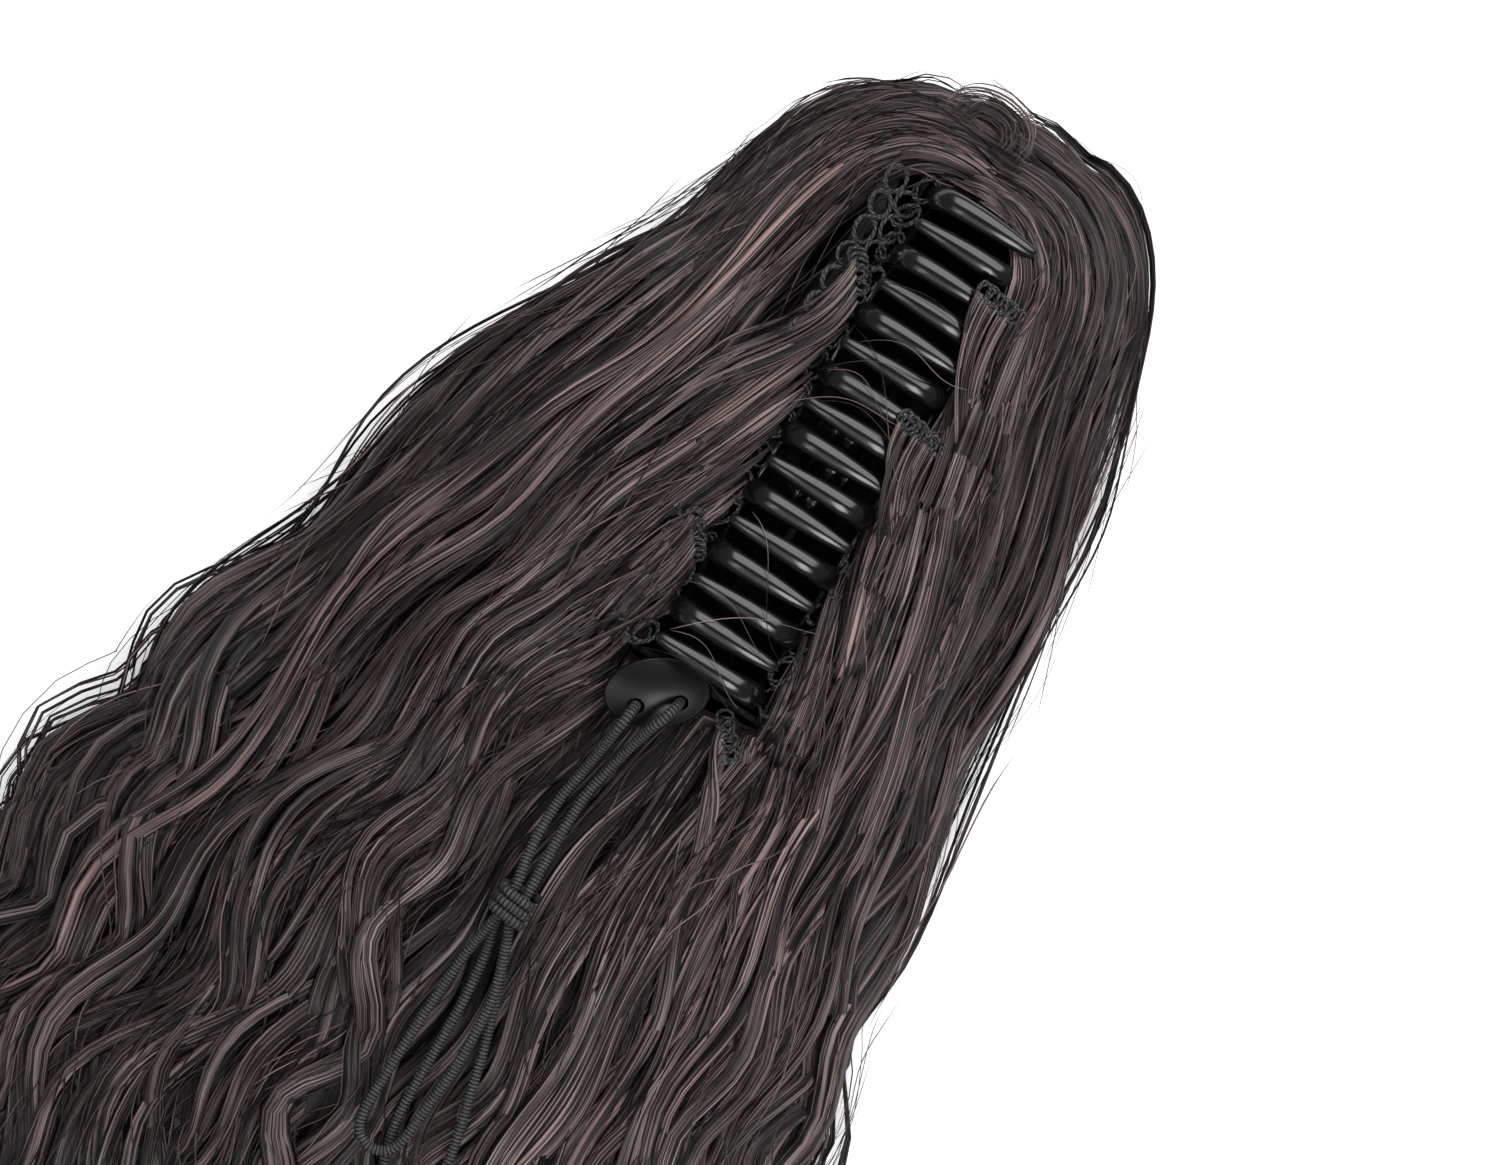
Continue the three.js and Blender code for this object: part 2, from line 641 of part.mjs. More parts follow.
function cordTube(route, steps) {
  const path = new THREE.CatmullRomCurve3(route.map((p) => new THREE.Vector3(...p)));
  const section = new THREE.Shape();
  for (let i = 0; i < cord_sides; i++) {
    const angle = (2 * Math.PI * i) / cord_sides;
    const [x, y] = [Math.cos(angle), Math.sin(angle)].map((v) => (v * cord_diameter) / 2);
    if (i) section.lineTo(x, y);
    else section.moveTo(x, y);
  }
  const tube = new THREE.ExtrudeGeometry(section, { steps, extrudePath: path, bevelEnabled: false });
  return geometryOf(solid(tube));
}

// The knot: three turns of cord, as one collar round the four strands.
function knot() {
  const inner = cord_diameter + seat_gap;
  const outer = inner + cord_diameter;
  const corner = 0.55;
  const outline = (half) => [
    [half, -half * corner], [half, half * corner], [half * corner, half], [-half * corner, half],
    [-half, half * corner], [-half, -half * corner], [-half * corner, -half], [half * corner, -half],
  ];
  const ring = barAlongY(outline(outer), -knot_length / 2, knot_length / 2);
  const room = barAlongY(outline(inner * 1.17), -knot_length, knot_length);
  return geometryOf(ring.subtract(room));
}

const hair = new THREE.MeshStandardMaterial({ color: 0x2e2423, roughness: 0.45, metalness: 0 });
const plastic = new THREE.MeshStandardMaterial({ color: 0x111114, roughness: 0.22, metalness: 0 });
const steel = new THREE.MeshStandardMaterial({ color: 0x8a8c90, roughness: 0.35, metalness: 1 });
const thread = new THREE.MeshStandardMaterial({ color: 0x0f0f11, roughness: 0.85, metalness: 0 });
const elastic = new THREE.MeshStandardMaterial({ color: 0x17171a, roughness: 0.8, metalness: 0 });

const ponytail = new THREE.Group();
function add(name, geometry, material) {
  const mesh = new THREE.Mesh(geometry, material);
  mesh.name = name;
  ponytail.add(mesh);
  return mesh;
}

// Claw: the teeth of the two jaws stand half a pitch apart, so that they pass each other.
const first_left = teeth_span / 2;
const first_right = first_left - tooth_pitch / 2;
const knuckle_at = knuckle_length + knuckle_gap;
add("jaw_left", geometryOf(jaw(-1, first_left, [knuckle_at * 1.5, -knuckle_at * 1.5])), plastic);
add("jaw_right", geometryOf(jaw(1, first_right, [knuckle_at * 0.5, -knuckle_at * 0.5])), plastic);
add("hinge_pin", geometryOf(hingePin()), steel);
add("net", geometryOf(net()), thread);

// Hair: left, right and end tresses side by side on the tress that lies on the floor.
const rooms = trough().add(wayOut());
const left_tress = tress(crown_y, 10, () => -1, innerLine("inner_left"));
const right_tress = tress(crown_y, 8, innerLine("inner_right"), () => 1);
const end_tress = tress(
  tail_y,
  8,
  (y) => column(tail_sections, tailShare(y), "inner_left"),
  (y) => column(tail_sections, tailShare(y), "inner_right"),
);
add("tress_left", geometryOf(left_tress.subtract(rooms)), hair);
add("tress_right", geometryOf(right_tress.subtract(rooms)), hair);
add("tress_end", geometryOf(end_tress.subtract(rooms)), hair);
add("tress_under", geometryOf(underTress()), hair);

// Sewn bands: two on the teeth's tips at the right, two on the net's left lip, one at the end.
const tip_top = arc_top - tooth_drop * (1 - Math.cos(radians(tip_angle * 0.8)));
const on_tips_z = tip_top + tooth_thickness / 2 + tooth_ridge + seat_gap + band_thickness / 2;
const lip = netLine();
const lip_turn = radians(lip_slope_left);
const lip_middle_x = (lip[0][0] + lip[1][0]) / 2;
const lip_middle_z = (lip[0][1] + lip[1][1]) / 2;
const off_lip = net_wall + seat_gap + band_thickness / 2;
const bands = [
  { name: "weft_band_right_upper", x: jaw_half_width - 0.5, y: tooth_pitch * 2.9 },
  { name: "weft_band_right_lower", x: jaw_half_width - 0.5, y: tooth_pitch * 0.68 },
  { name: "weft_band_left_upper", y: tooth_pitch * 2.15 },
  { name: "weft_band_left_lower", y: -tooth_pitch * 2.2 },
];
for (const { name, x, y } of bands) {
  const mesh = add(name, band(), thread);
  if (x) mesh.position.set(x, y, on_tips_z);
  else {
    const [across, up] = [Math.sin(lip_turn) * off_lip, Math.cos(lip_turn) * off_lip];
    mesh.position.set(lip_middle_x + across, y, lip_middle_z + up);
    mesh.rotation.y = lip_turn;
  }
}
const end_band = add("weft_band_end", band(), thread);
const end_band_z = bed.top_from + 2.2 * seat_gap + band_thickness / 2;
end_band.position.set(jaw_half_width - 1, tail_y - band_length / 2 - 1, end_band_z);

// Cord, knot and plate.
const cord_plate = add("cord_plate", plate(), plastic);
cord_plate.rotation.set(radians(plate_tilt), 0, radians(plate_turn), "ZXY");
const plate_y = -claw_half - plate_end_gap;
cord_plate.position.set(plate_offset, plate_y, teeth_top - 10.6);
add("cord_outer_loop", cordTube(outer_route, outer_steps), elastic);
add("cord_inner_loop", cordTube(inner_route, inner_steps), elastic);
add("cord_knot", knot(), elastic).position.set(...knot_at);

// The origin is on the floor, under the middle of everything but the free cord.
const cords = ["cord_outer_loop", "cord_inner_loop", "cord_knot"];
const bounds = new THREE.Box3();
for (const mesh of ponytail.children)
  if (!cords.includes(mesh.name)) bounds.expandByObject(mesh, true);
const middle = bounds.getCenter(new THREE.Vector3());
ponytail.position.set(-middle.x, -middle.y, -bounds.min.z);

export default ponytail;
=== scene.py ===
# %% [markdown]
# # A wavy clip-on ponytail
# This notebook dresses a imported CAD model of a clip-on ponytail that lies on its back.
# The model gives the places and sizes. Blender adds the hair, the crochet and the gloss.
# Everything is in metres, in the frame of the model, so a piece goes where the model says.

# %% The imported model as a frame
import math

import bpy
import numpy as np
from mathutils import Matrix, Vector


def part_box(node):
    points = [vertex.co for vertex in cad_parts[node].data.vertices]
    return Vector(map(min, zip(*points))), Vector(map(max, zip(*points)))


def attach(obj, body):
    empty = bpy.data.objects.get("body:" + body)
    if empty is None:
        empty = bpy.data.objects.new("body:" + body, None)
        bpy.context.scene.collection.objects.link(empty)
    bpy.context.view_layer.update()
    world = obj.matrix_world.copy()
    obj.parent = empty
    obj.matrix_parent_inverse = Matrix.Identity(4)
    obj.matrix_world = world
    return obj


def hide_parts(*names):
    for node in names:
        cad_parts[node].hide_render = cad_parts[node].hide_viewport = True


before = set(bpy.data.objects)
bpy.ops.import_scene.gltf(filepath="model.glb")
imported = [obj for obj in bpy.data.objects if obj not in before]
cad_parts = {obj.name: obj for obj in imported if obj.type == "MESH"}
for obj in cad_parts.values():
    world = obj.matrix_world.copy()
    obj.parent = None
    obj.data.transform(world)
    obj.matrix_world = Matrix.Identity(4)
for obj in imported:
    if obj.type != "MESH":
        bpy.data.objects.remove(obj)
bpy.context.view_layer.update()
mm = 0.001
pin_low, pin_high = (np.array(corner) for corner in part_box("hinge_pin"))
claw = np.append((pin_low + pin_high)[:2] / 2, 0.0)

# %% [markdown]
# ## Helpers for surfaces made with numpy
# Each new piece is a function of two parameters, worked out as whole arrays. One helper
# turns arrays into a mesh, with a UV pair and named numbers on each point for the
# materials. Distances below are in millimetres from the claw's middle on the floor,
# because that is how the pieces were measured, and this helper brings them to metres.

# %% One mesh from arrays


def piece(name, points, polygons, finish, uv=None, numbers=None, smooth=True):
    """Points (n, 3) in millimetres from the claw's middle, and a list of index arrays with
    a row for each face, become one mesh that rides on the model's body."""
    mesh = bpy.data.meshes.new(name)
    corners = np.concatenate([rows.ravel() for rows in polygons]).astype(np.int32)
    sizes = np.concatenate([np.full(len(rows), rows.shape[1]) for rows in polygons])
    mesh.vertices.add(len(points))
    mesh.vertices.foreach_set("co", (claw + points * mm).astype(np.float32).ravel())
    mesh.loops.add(len(corners))
    mesh.loops.foreach_set("vertex_index", corners)
    mesh.polygons.add(len(sizes))
    mesh.polygons.foreach_set("loop_start", (np.cumsum(sizes) - sizes).astype(np.int32))
    mesh.polygons.foreach_set("use_smooth", np.full(len(sizes), smooth))
    mesh.update(calc_edges=True)
    if uv is not None:
        layer = mesh.uv_layers.new(name="Along")
        layer.data.foreach_set("uv", uv[corners].astype(np.float32).ravel())
    for label, values in (numbers or {}).items():
        kept = mesh.attributes.new(label, "FLOAT", "POINT")
        kept.data.foreach_set("value", values.astype(np.float32))
    mesh.validate()
    obj = bpy.data.objects.new(name, mesh)
    bpy.context.collection.objects.link(obj)
    mesh.materials.append(finish)
    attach(obj, "root")
    print(name, sum(len(rows) * (rows.shape[1] - 2) for rows in polygons), "triangles")
    return obj


# %% Rings carried along many lines at once


def unit(vectors):
    """Each vector divided by its own length."""
    return vectors / np.maximum(np.linalg.norm(vectors, axis=-1, keepdims=True), 1e-9)


up = np.array([0.0, 0.0, 1.0])


def sideways(lines):
    """The level direction across each line: its own direction crossed with straight up."""
    return unit(np.cross(unit(np.gradient(lines, axis=1)), up))


def rings(lines, wide, high, profile, roll=0.0, lean=up):
    """A ring of points round each point of each line. lines is (n, m, 3), wide and high are
    (n, m) half sizes, and profile is the ring's shape as (k, 2) numbers from -1 to 1. The
    ring's side is the line's direction crossed with lean, turned by roll."""
    along = unit(np.gradient(lines, axis=1))
    side = unit(np.cross(along, lean))
    out = np.cross(side, along)
    roll = np.broadcast_to(roll, wide.shape)[..., None]
    side, out = side * np.cos(roll) + out * np.sin(roll), out * np.cos(roll) - side * np.sin(roll)
    across = (wide[..., None] * profile[:, 0])[..., None] * side[:, :, None]
    upward = (high[..., None] * profile[:, 1])[..., None] * out[:, :, None]
    return lines[:, :, None] + across + upward


def ring_faces(n, m, k):
    """Quads along n tubes of m rings with k points each, and both ends closed."""
    index = np.arange(n * m * k).reshape(n, m, k)
    turned = np.roll(index, -1, axis=2)
    quads = [index[:, :-1], index[:, 1:], turned[:, 1:], turned[:, :-1]]
    sides = np.stack(quads, axis=-1).reshape(-1, 4)
    return [sides, index[:, 0], index[:, -1, ::-1]]


def round_profile(k):
    """k points evenly round a circle, from half a step on."""
    turn = 2 * np.pi * (np.arange(k) + 0.5) / k
    return np.stack([np.cos(turn), np.sin(turn)], axis=1)


# A clump's section: nearly flat, with a low back and a shallow keel.
flat_profile = np.array([[1.0, 0.0], [0.55, 0.9], [-0.55, 0.9], [-1.0, 0.0], [0.0, -0.8]])


def tubes(name, lines, wide, high, profile, finish, roll=0.0, numbers=None, lean=up):
    """Closed tubes along lines. The UV's first number is the way across the tube and its
    second the way along it, both in millimetres, and each line's own numbers go to its
    points."""
    n, m, _ = lines.shape
    k = len(profile)
    points = rings(lines, wide, high, profile, roll, lean)
    steps = np.linalg.norm(np.diff(lines, axis=1, prepend=lines[:, :1]), axis=2)
    uv = np.empty((n, m, k, 2))
    uv[..., 0] = wide.max(axis=1)[:, None, None] * profile[:, 0]
    uv[..., 1] = np.cumsum(steps, axis=1)[:, :, None]
    spread = {label: np.repeat(np.broadcast_to(values.reshape(n, -1), (n, m)), k)
              for label, values in (numbers or {}).items()}
    faces = ring_faces(n, m, k)
    return piece(name, points.reshape(-1, 3), faces, finish, uv.reshape(-1, 2), spread)


# %% Smooth steps and ramps


def smooth(value, start, end):
    """0 before start, 1 after end, and an even S between them."""
    t = np.clip((value - start) / (end - start), 0, 1)
    return t * t * (3 - 2 * t)


def blend(a, b, share):
    """a at share 0 and b at share 1."""
    return a + (b - a) * share


# %% [markdown]
# ## Shader maths as expressions
# Materials are node trees. A small class wraps a socket, so that a sum or product of
# values adds its own Math node, and one method makes any other node from its settings
# and inputs. Colours are mixed with Mix nodes, because a Math node would turn them grey.

# %% The socket class


class Value:
    """A socket of a node tree, with arithmetic that adds Math nodes."""

    def __init__(self, tree, socket):
        self.tree = tree
        self.socket = socket

    def node(self, kind, output=0, settings=None, **inputs):
        return add_node(self.tree, kind, output, settings, **inputs)

    def math(self, operation, *others):
        return self.node("ShaderNodeMath", settings={"operation": operation},
                         **{str(i): value for i, value in enumerate((self, *others))})

    def __add__(self, other):
        return self.math("ADD", other)

    def __rsub__(self, other):
        return self.node("ShaderNodeMath", settings={"operation": "SUBTRACT"},
                         **{"0": other, "1": self})

    def __mul__(self, other):
        return self.math("MULTIPLY", other)

    __radd__ = __add__
    __rmul__ = __mul__

    def ramp(self, low, high):
        """0 below low and 1 above high, with a smooth rise."""
        return self.node("ShaderNodeMapRange", settings={"interpolation_type": "SMOOTHSTEP"},
                         Value=self, **{"From Min": low, "From Max": high})


def add_node(tree, kind, output=0, settings=None, **inputs):
    """Any node: its settings first, then the values or links of its inputs, each by its
    name or number."""
    node = tree.nodes.new(kind)
    for key, value in (settings or {}).items():
        setattr(node, key, value)
    for key, value in inputs.items():
        socket = node.inputs[int(key)] if key.isdigit() else node.inputs[key]
        if isinstance(value, Value):
            tree.links.new(value.socket, socket)
        else:
            socket.default_value = value
    return Value(tree, node.outputs[output])


# %% One material from its parts


def material(name, shader, colour=None, roughness=None, height=None, bump=0.5, depth=0.0002):
    """A Principled material. shader holds what is the same all over, and colour, roughness
    and height are values worked out over the surface."""
    made = bpy.data.materials.new(name)
    made.use_nodes = True
    tree = made.node_tree
    surface = tree.nodes["Principled BSDF"]
    for key, value in shader.items():
        surface.inputs[key].default_value = value
    parts = {"Base Color": colour, "Roughness": roughness}
    if height:
        parts["Normal"] = lambda t: add_node(
            t, "ShaderNodeBump", Strength=bump, Distance=depth, Height=height(t))
    for key, make in parts.items():
        if make:
            tree.links.new(make(tree).socket, surface.inputs[key])
    return made


# %% Maps, noise and mixes
far_apart = (13.7, 47.3, 91.1)


def line_uv(tree):
    """The piece's own UV: the way across the tube and the way along it, in millimetres."""
    return add_node(tree, "ShaderNodeUVMap", settings={"uv_map": "Along"})


def along_map(tree, across, along, shift):
    """The piece's own UV, counted in grains of a width and a length in millimetres, and
    moved by a number so that each line differs."""
    uv = line_uv(tree)
    scaled = uv.node("ShaderNodeVectorMath", settings={"operation": "MULTIPLY"},
                     **{"0": uv, "1": (1 / across, 1 / along, 0.0)})
    x, y, z = (shift * far for far in far_apart)
    moved = uv.node("ShaderNodeCombineXYZ", X=x, Y=y, Z=z)
    return uv.node("ShaderNodeVectorMath", settings={"operation": "ADD"},
                   **{"0": scaled, "1": moved})


def object_place(tree):
    """The place on the piece, in metres."""
    return add_node(tree, "ShaderNodeTexCoord", output=3)


def noise(at, detail, scale=1.0, **more):
    """Smooth random values between 0 and 1 at each place, with finer layers for detail."""
    return at.node("ShaderNodeTexNoise", Vector=at, Scale=scale, Detail=detail, **more)


def wave_of(value, pitch):
    """0 to 1 and back once each pitch: half of 1 less the cosine."""
    return 0.5 - 0.5 * (value * (2 * math.pi / pitch)).math("COSINE")


def number(tree, label):
    """A number that each line of a piece carries."""
    return add_node(tree, "ShaderNodeAttribute", output=2, settings={"attribute_name": label})


def mixed(tree, share, a, b):
    """Colour a at share 0 and colour b at share 1. For colours, a Mix node's inputs are 0,
    6 and 7, and its output is 2."""
    node = tree.nodes.new("ShaderNodeMix")
    node.data_type = "RGBA"
    for socket, value in ((node.inputs[0], share), (node.inputs[6], a), (node.inputs[7], b)):
        if isinstance(value, Value):
            tree.links.new(value.socket, socket)
        else:
            socket.default_value = (*value, 1.0) if isinstance(value, tuple) else value
    return Value(tree, node.outputs[2])


def fuzzy(tree, width, length, dark, pale):
    """Two greys in fine fibres of a width and a length in millimetres."""
    fuzz = noise(along_map(tree, width, length, number(tree, "tone")), 3.0)
    return mixed(tree, fuzz.ramp(0.35, 0.7), dark, pale)


# %% [markdown]
# ## The camera
# The hairpiece lies on a pale floor and is seen from straight above. A camera could be
# aimed at it with a constraint. This one only needs a place over the claw and a turn about
# the upright axis, so that the claw runs from the upper right to the lower left.

# %% Camera
view_shift = np.array([-1.8, -33.6, 0.0])
view_middle = claw + view_shift * mm
view_turn = math.radians(32.1)
view_width = 0.300
teeth_height = 0.050
camera_height = 0.70
sensor_width = 36.0
camera_data = bpy.data.cameras.new("camera")
camera_data.sensor_width = sensor_width
camera_data.lens = sensor_width * camera_height / view_width
camera = bpy.data.objects.new("camera", camera_data)
camera.location = (view_middle[0], view_middle[1], teeth_height + camera_height)
camera.rotation_euler = (0.0, 0.0, view_turn)
bpy.context.collection.objects.link(camera)
bpy.context.scene.camera = camera
print("camera over", view_middle.round(3))

# %% [markdown]
# ## The elastic cord
# A thin round elastic in a ribbed braid. It leaves the plate's left hole, goes through a
# knot, round a loop, back through the knot and into the right hole. A second loop is tied
# in with it. A curve with a bevel would make a plain tube, and bump would leave its
# outline smooth. So the tube is worked out ring by ring and swells at each rib. The points
# are those of the CAD model's cord.

# %% Cord routes
cord_diameter = 2.3 * mm
outer_route = np.array([
    [-8.5, -66.35, 39.9], [-8.25, -66.8, 42], [-8.2, -67.4, 44.3], [-8.3, -69.1, 46],
    [-8.5, -71.4, 46.6], [-8.8, -73.6, 46.1], [-9.5, -79, 43.1], [-10.3, -85, 40.5],
    [-11.2, -92, 39.4], [-10.9, -102, 40.6], [-9.5, -109.4, 42.2], [-9.15, -112.4, 42.65],
    [-9.15, -115.6, 42.65], [-9.5, -119.2, 41.9], [-10.6, -127, 38.9], [-11.2, -138, 37.3],
    [-11.4, -150, 37.1], [-11.4, -160, 37.6], [-11.1, -166.9, 38.3], [-9.6, -170.4, 38.6],
    [-6.2, -171.8, 38.9], [-2.8, -170.4, 38.9], [-1.3, -166.9, 38.9], [-0.9, -160, 38.9],
    [-0.3, -152, 39.6], [-0.4, -142, 40.1], [-1.4, -132, 40.3], [-4.6, -122, 41.6],
    [-6.3, -118, 42.4], [-6.45, -115.4, 42.65], [-6.45, -112.2, 42.65], [-6.6, -108, 42.2],
    [-7.2, -98, 40.2], [-7.1, -88, 39.7], [-5.8, -80, 40.9], [-4.4, -74, 43.3],
    [-2.9, -68.6, 46.1], [-2.1, -66.4, 46.6], [-1.45, -64.1, 46], [-1, -62.35, 44.3],
    [-0.95, -61.6, 42], [-1.22, -61.05, 39.9],
]) * mm
inner_route = np.array([
    [-9.15, -111, 39.95], [-9.15, -116.6, 39.95], [-8.6, -121, 38.4], [-7, -128, 37.2],
    [-5.9, -138, 36.9], [-5.5, -148, 36.4], [-5.1, -158, 36.1], [-4.5, -165, 35.9],
    [-2.7, -172, 35.7], [-0.4, -179.4, 35.6], [1.2, -183, 35.5], [4.7, -184.5, 35.5],
    [8.2, -183, 35.6], [9.7, -179.4, 35.7], [9.7, -172, 35.9], [8.2, -163, 36.1],
    [5.8, -154, 36.4], [3.6, -146, 36.6], [0.8, -137, 36.9], [-2.4, -128, 37.2],
    [-5.2, -121, 38.4], [-6.45, -116.6, 39.95], [-6.45, -111, 39.95],
]) * mm
print(len(outer_route), "and", len(inner_route), "points of the cord")

# %% Smooth lines through points
curve_cuts = 24


def cubic(a, b, c, d, t):
    """A smooth way from b at t 0 to c at t 1. Its slope at b is half the way from a to c,
    and at c half the way from b to d."""
    return 0.5 * (2 * b + (c - a) * t + (2 * a - 5 * b + 4 * c - d) * t**2
                  + (3 * b - a - 3 * c + d) * t**3)


def travelled(line):
    """The way along a line to each of its points: the sum of the steps before it."""
    return np.append(0, np.cumsum(np.linalg.norm(np.diff(line, axis=0), axis=1)))


def curve_through(points, step):
    """A smooth line through the points, in even steps, and its length. The line is cut
    finely from one point to the next, and then measured and divided evenly."""
    ends = np.vstack([2 * points[:1] - points[1:2], points, 2 * points[-1:] - points[-2:-1]])
    share = np.linspace(0, 1, curve_cuts, endpoint=False)[:, None]
    a, b, c, d = (ends[i:len(ends) - 3 + i, None] for i in range(4))
    line = np.vstack([cubic(a, b, c, d, share).reshape(-1, 3), points[-1:]])
    run = travelled(line)
    even = np.linspace(0, run[-1], max(2, round(run[-1] / step)))
    return np.stack([np.interp(even, run, line[:, axis]) for axis in range(3)], axis=1), run[-1]


# %% Elastic material
rib_pitch = 0.78
rib_depth = 0.14
# Near black for the painted shade in the grooves between the ribs.
elastic_groove_painted_shade = (0.0015, 0.0015, 0.002)
elastic_greys = (0.02, 0.02, 0.022), (0.085, 0.085, 0.09)


def elastic_colour(tree):
    """Fuzzy grey on the ribs, and near black in the grooves between them as painted shade."""
    uv = line_uv(tree)
    along = uv.node("ShaderNodeSeparateXYZ", 1, Vector=uv)
    on_ribs = fuzzy(tree, 0.25, 0.35, *elastic_greys)
    return mixed(tree, wave_of(along, rib_pitch).ramp(0.1, 0.8), elastic_groove_painted_shade, on_ribs)


def elastic_height(tree):
    """Fine even grain, as of woven threads."""
    return noise(along_map(tree, 0.2, 0.2, number(tree, "tone")), 2.0)


elastic = material("ribbed_elastic", {"Roughness": 0.7, "Specular IOR Level": 0.3},
                   elastic_colour, height=elastic_height, bump=0.6, depth=0.0001)
print("elastic with a rib each", rib_pitch, "mm")

# %% Cord pieces
cord_radius = cord_diameter / 2 / mm
steps_per_rib = 4
cord_sides = 9
cord_lean = (0.5, 0.4, 1.0)


def ribbed_cord(name, route, tone):
    """A tube whose radius swells at each rib: 1 less a share of the grooves' cosine."""
    line, length = curve_through(route, rib_pitch * mm / steps_per_rib)
    run = travelled(line) / mm
    groove = 0.5 + 0.5 * np.cos(2 * np.pi * run / rib_pitch)
    radius = (cord_radius * (1 - rib_depth * groove))[None]
    cord = tubes(name, (line / mm)[None], radius, radius, round_profile(cord_sides), elastic,
                 numbers={"tone": np.array([tone])}, lean=cord_lean)
    return cord, line, length


cord_outer, outer_line, outer_length = ribbed_cord("cord_from_hole_to_hole", outer_route, 0.2)
cord_inner, inner_line, inner_length = ribbed_cord("cord_tied_in_loop", inner_route, 0.7)
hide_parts("cord_outer_loop")
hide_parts("cord_inner_loop")
print("cord lengths", round(outer_length, 4), round(inner_length, 4))

# %% [markdown]
# ## The knot
# The real knot is a few turns of the same elastic, pulled tight round the cord's four
# stretches. A true knot would be hard to follow by hand, and nobody sees its inside. So it
# is three turns of a helix, a little squared, which is how cord lies round a bundle.

# %% The knot's wraps
knot_middle = np.array([-7.8, -114.0, 41.3])
knot_hollow = 2.35
wraps, wrap_step = 3, 2.15
wrap_points, points_per_rib = 180, 3
corner_power = 3
turn = np.linspace(0, 2 * np.pi * wraps, wrap_points)
wrap_radius = knot_hollow + cord_radius
corner = np.abs(np.cos(turn)) ** corner_power + np.abs(np.sin(turn)) ** corner_power
squared = wrap_radius * corner ** (-1 / corner_power)
knot_line = np.stack([
    knot_middle[0] + squared * np.cos(turn),
    knot_middle[1] + wrap_step * (turn / (2 * np.pi) - wraps / 2),
    knot_middle[2] + squared * np.sin(turn),
], axis=1)
knot_groove = 0.5 + 0.5 * np.cos(2 * np.pi * np.arange(wrap_points) / points_per_rib)
knot_radius = (cord_radius * (1 - rib_depth * knot_groove))[None]
knot = tubes("cord_knot_wraps", knot_line[None], knot_radius, knot_radius, round_profile(10),
             elastic, numbers={"tone": np.array([0.45])}, lean=(0.0, 1.0, 0.0))
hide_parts("cord_knot")

# %% [markdown]
# ## The claw's teeth
# Each tooth is a curved finger of glossy black plastic with a soft crease along its back.
# A crease catches the soft light as two grey bands with a dark line between them. It
# could be a flat strip with a bevel, but the bands only look right on a real crowned
# section, so a profile is carried along the tooth's arc, and narrows to its tip.

# %% Plastic material
gloss_roughness, wear_share = 0.13, 0.12
wear_scale, ripple_scale = 420.0, 160.0


def plastic_roughness(tree):
    """A gloss, and a share of fine noise for wear."""
    return gloss_roughness + noise(object_place(tree), 4.0, wear_scale) * wear_share


def plastic_height(tree):
    """The slow ripple of a moulding."""
    return noise(object_place(tree), 2.0, ripple_scale)


black = (0.003, 0.003, 0.0036, 1.0)
plastic = material("gloss_black_plastic", {"Base Color": black, "Specular IOR Level": 0.55},
                   roughness=plastic_roughness, height=plastic_height, bump=0.15, depth=0.0001)
print("gloss plastic, roughness from", gloss_roughness)

# %% Claw sizes
hinge_z = float(pin_low[2] + pin_high[2]) / 2 / mm
teeth_per_jaw = 8
tooth_pitch = 14.0
tooth_base, tooth_tip = 5.8, 2.5
tooth_thick = 2.2
tooth_crease = 0.75
shoulder = 0.72
jaw_half_width = 12.0
jaw_depth = 12.0
arc_top = 49.2
tip_reach, tip_drop, tip_angle = 16.0, 7.0, math.radians(50)
first_left = (teeth_per_jaw - 0.5) * tooth_pitch / 2
first_right = first_left - tooth_pitch / 2
claw_head, claw_tail = 57, -60
print("teeth from", first_left, "to", first_left - (teeth_per_jaw - 1) * tooth_pitch)

# %% One tooth
rise_steps, fall_steps, section_steps = 14, 18, 21
root_depth = 3.0
narrowing, thinning = 1.3, 0.35
tip_from, tip_run, tip_least = 0.93, 0.0705, 0.004
dome_foot, dome_top, dome_belly = -0.15, 0.65, 0.35
crease_softness = 0.012


def tooth_line(side, y):
    """A tooth's middle line: up a squared quarter of an ellipse, cos and sin to a power
    below 1, and on along a flatter arc."""
    rise = np.radians(np.linspace(0, 90, rise_steps))[:-1]
    fall = tip_angle * np.linspace(0, 1, fall_steps)
    x = np.concatenate([-np.cos(rise) ** shoulder * jaw_half_width, tip_reach * np.sin(fall)])
    z = np.concatenate([arc_top - jaw_depth + jaw_depth * np.sin(rise) ** shoulder,
                        arc_top - tip_drop * (1 - np.cos(fall))])
    x, z = np.append(x[0], x), np.append(z[0] - root_depth, z)
    return np.stack([-side * x, np.full_like(x, y), z], axis=1)


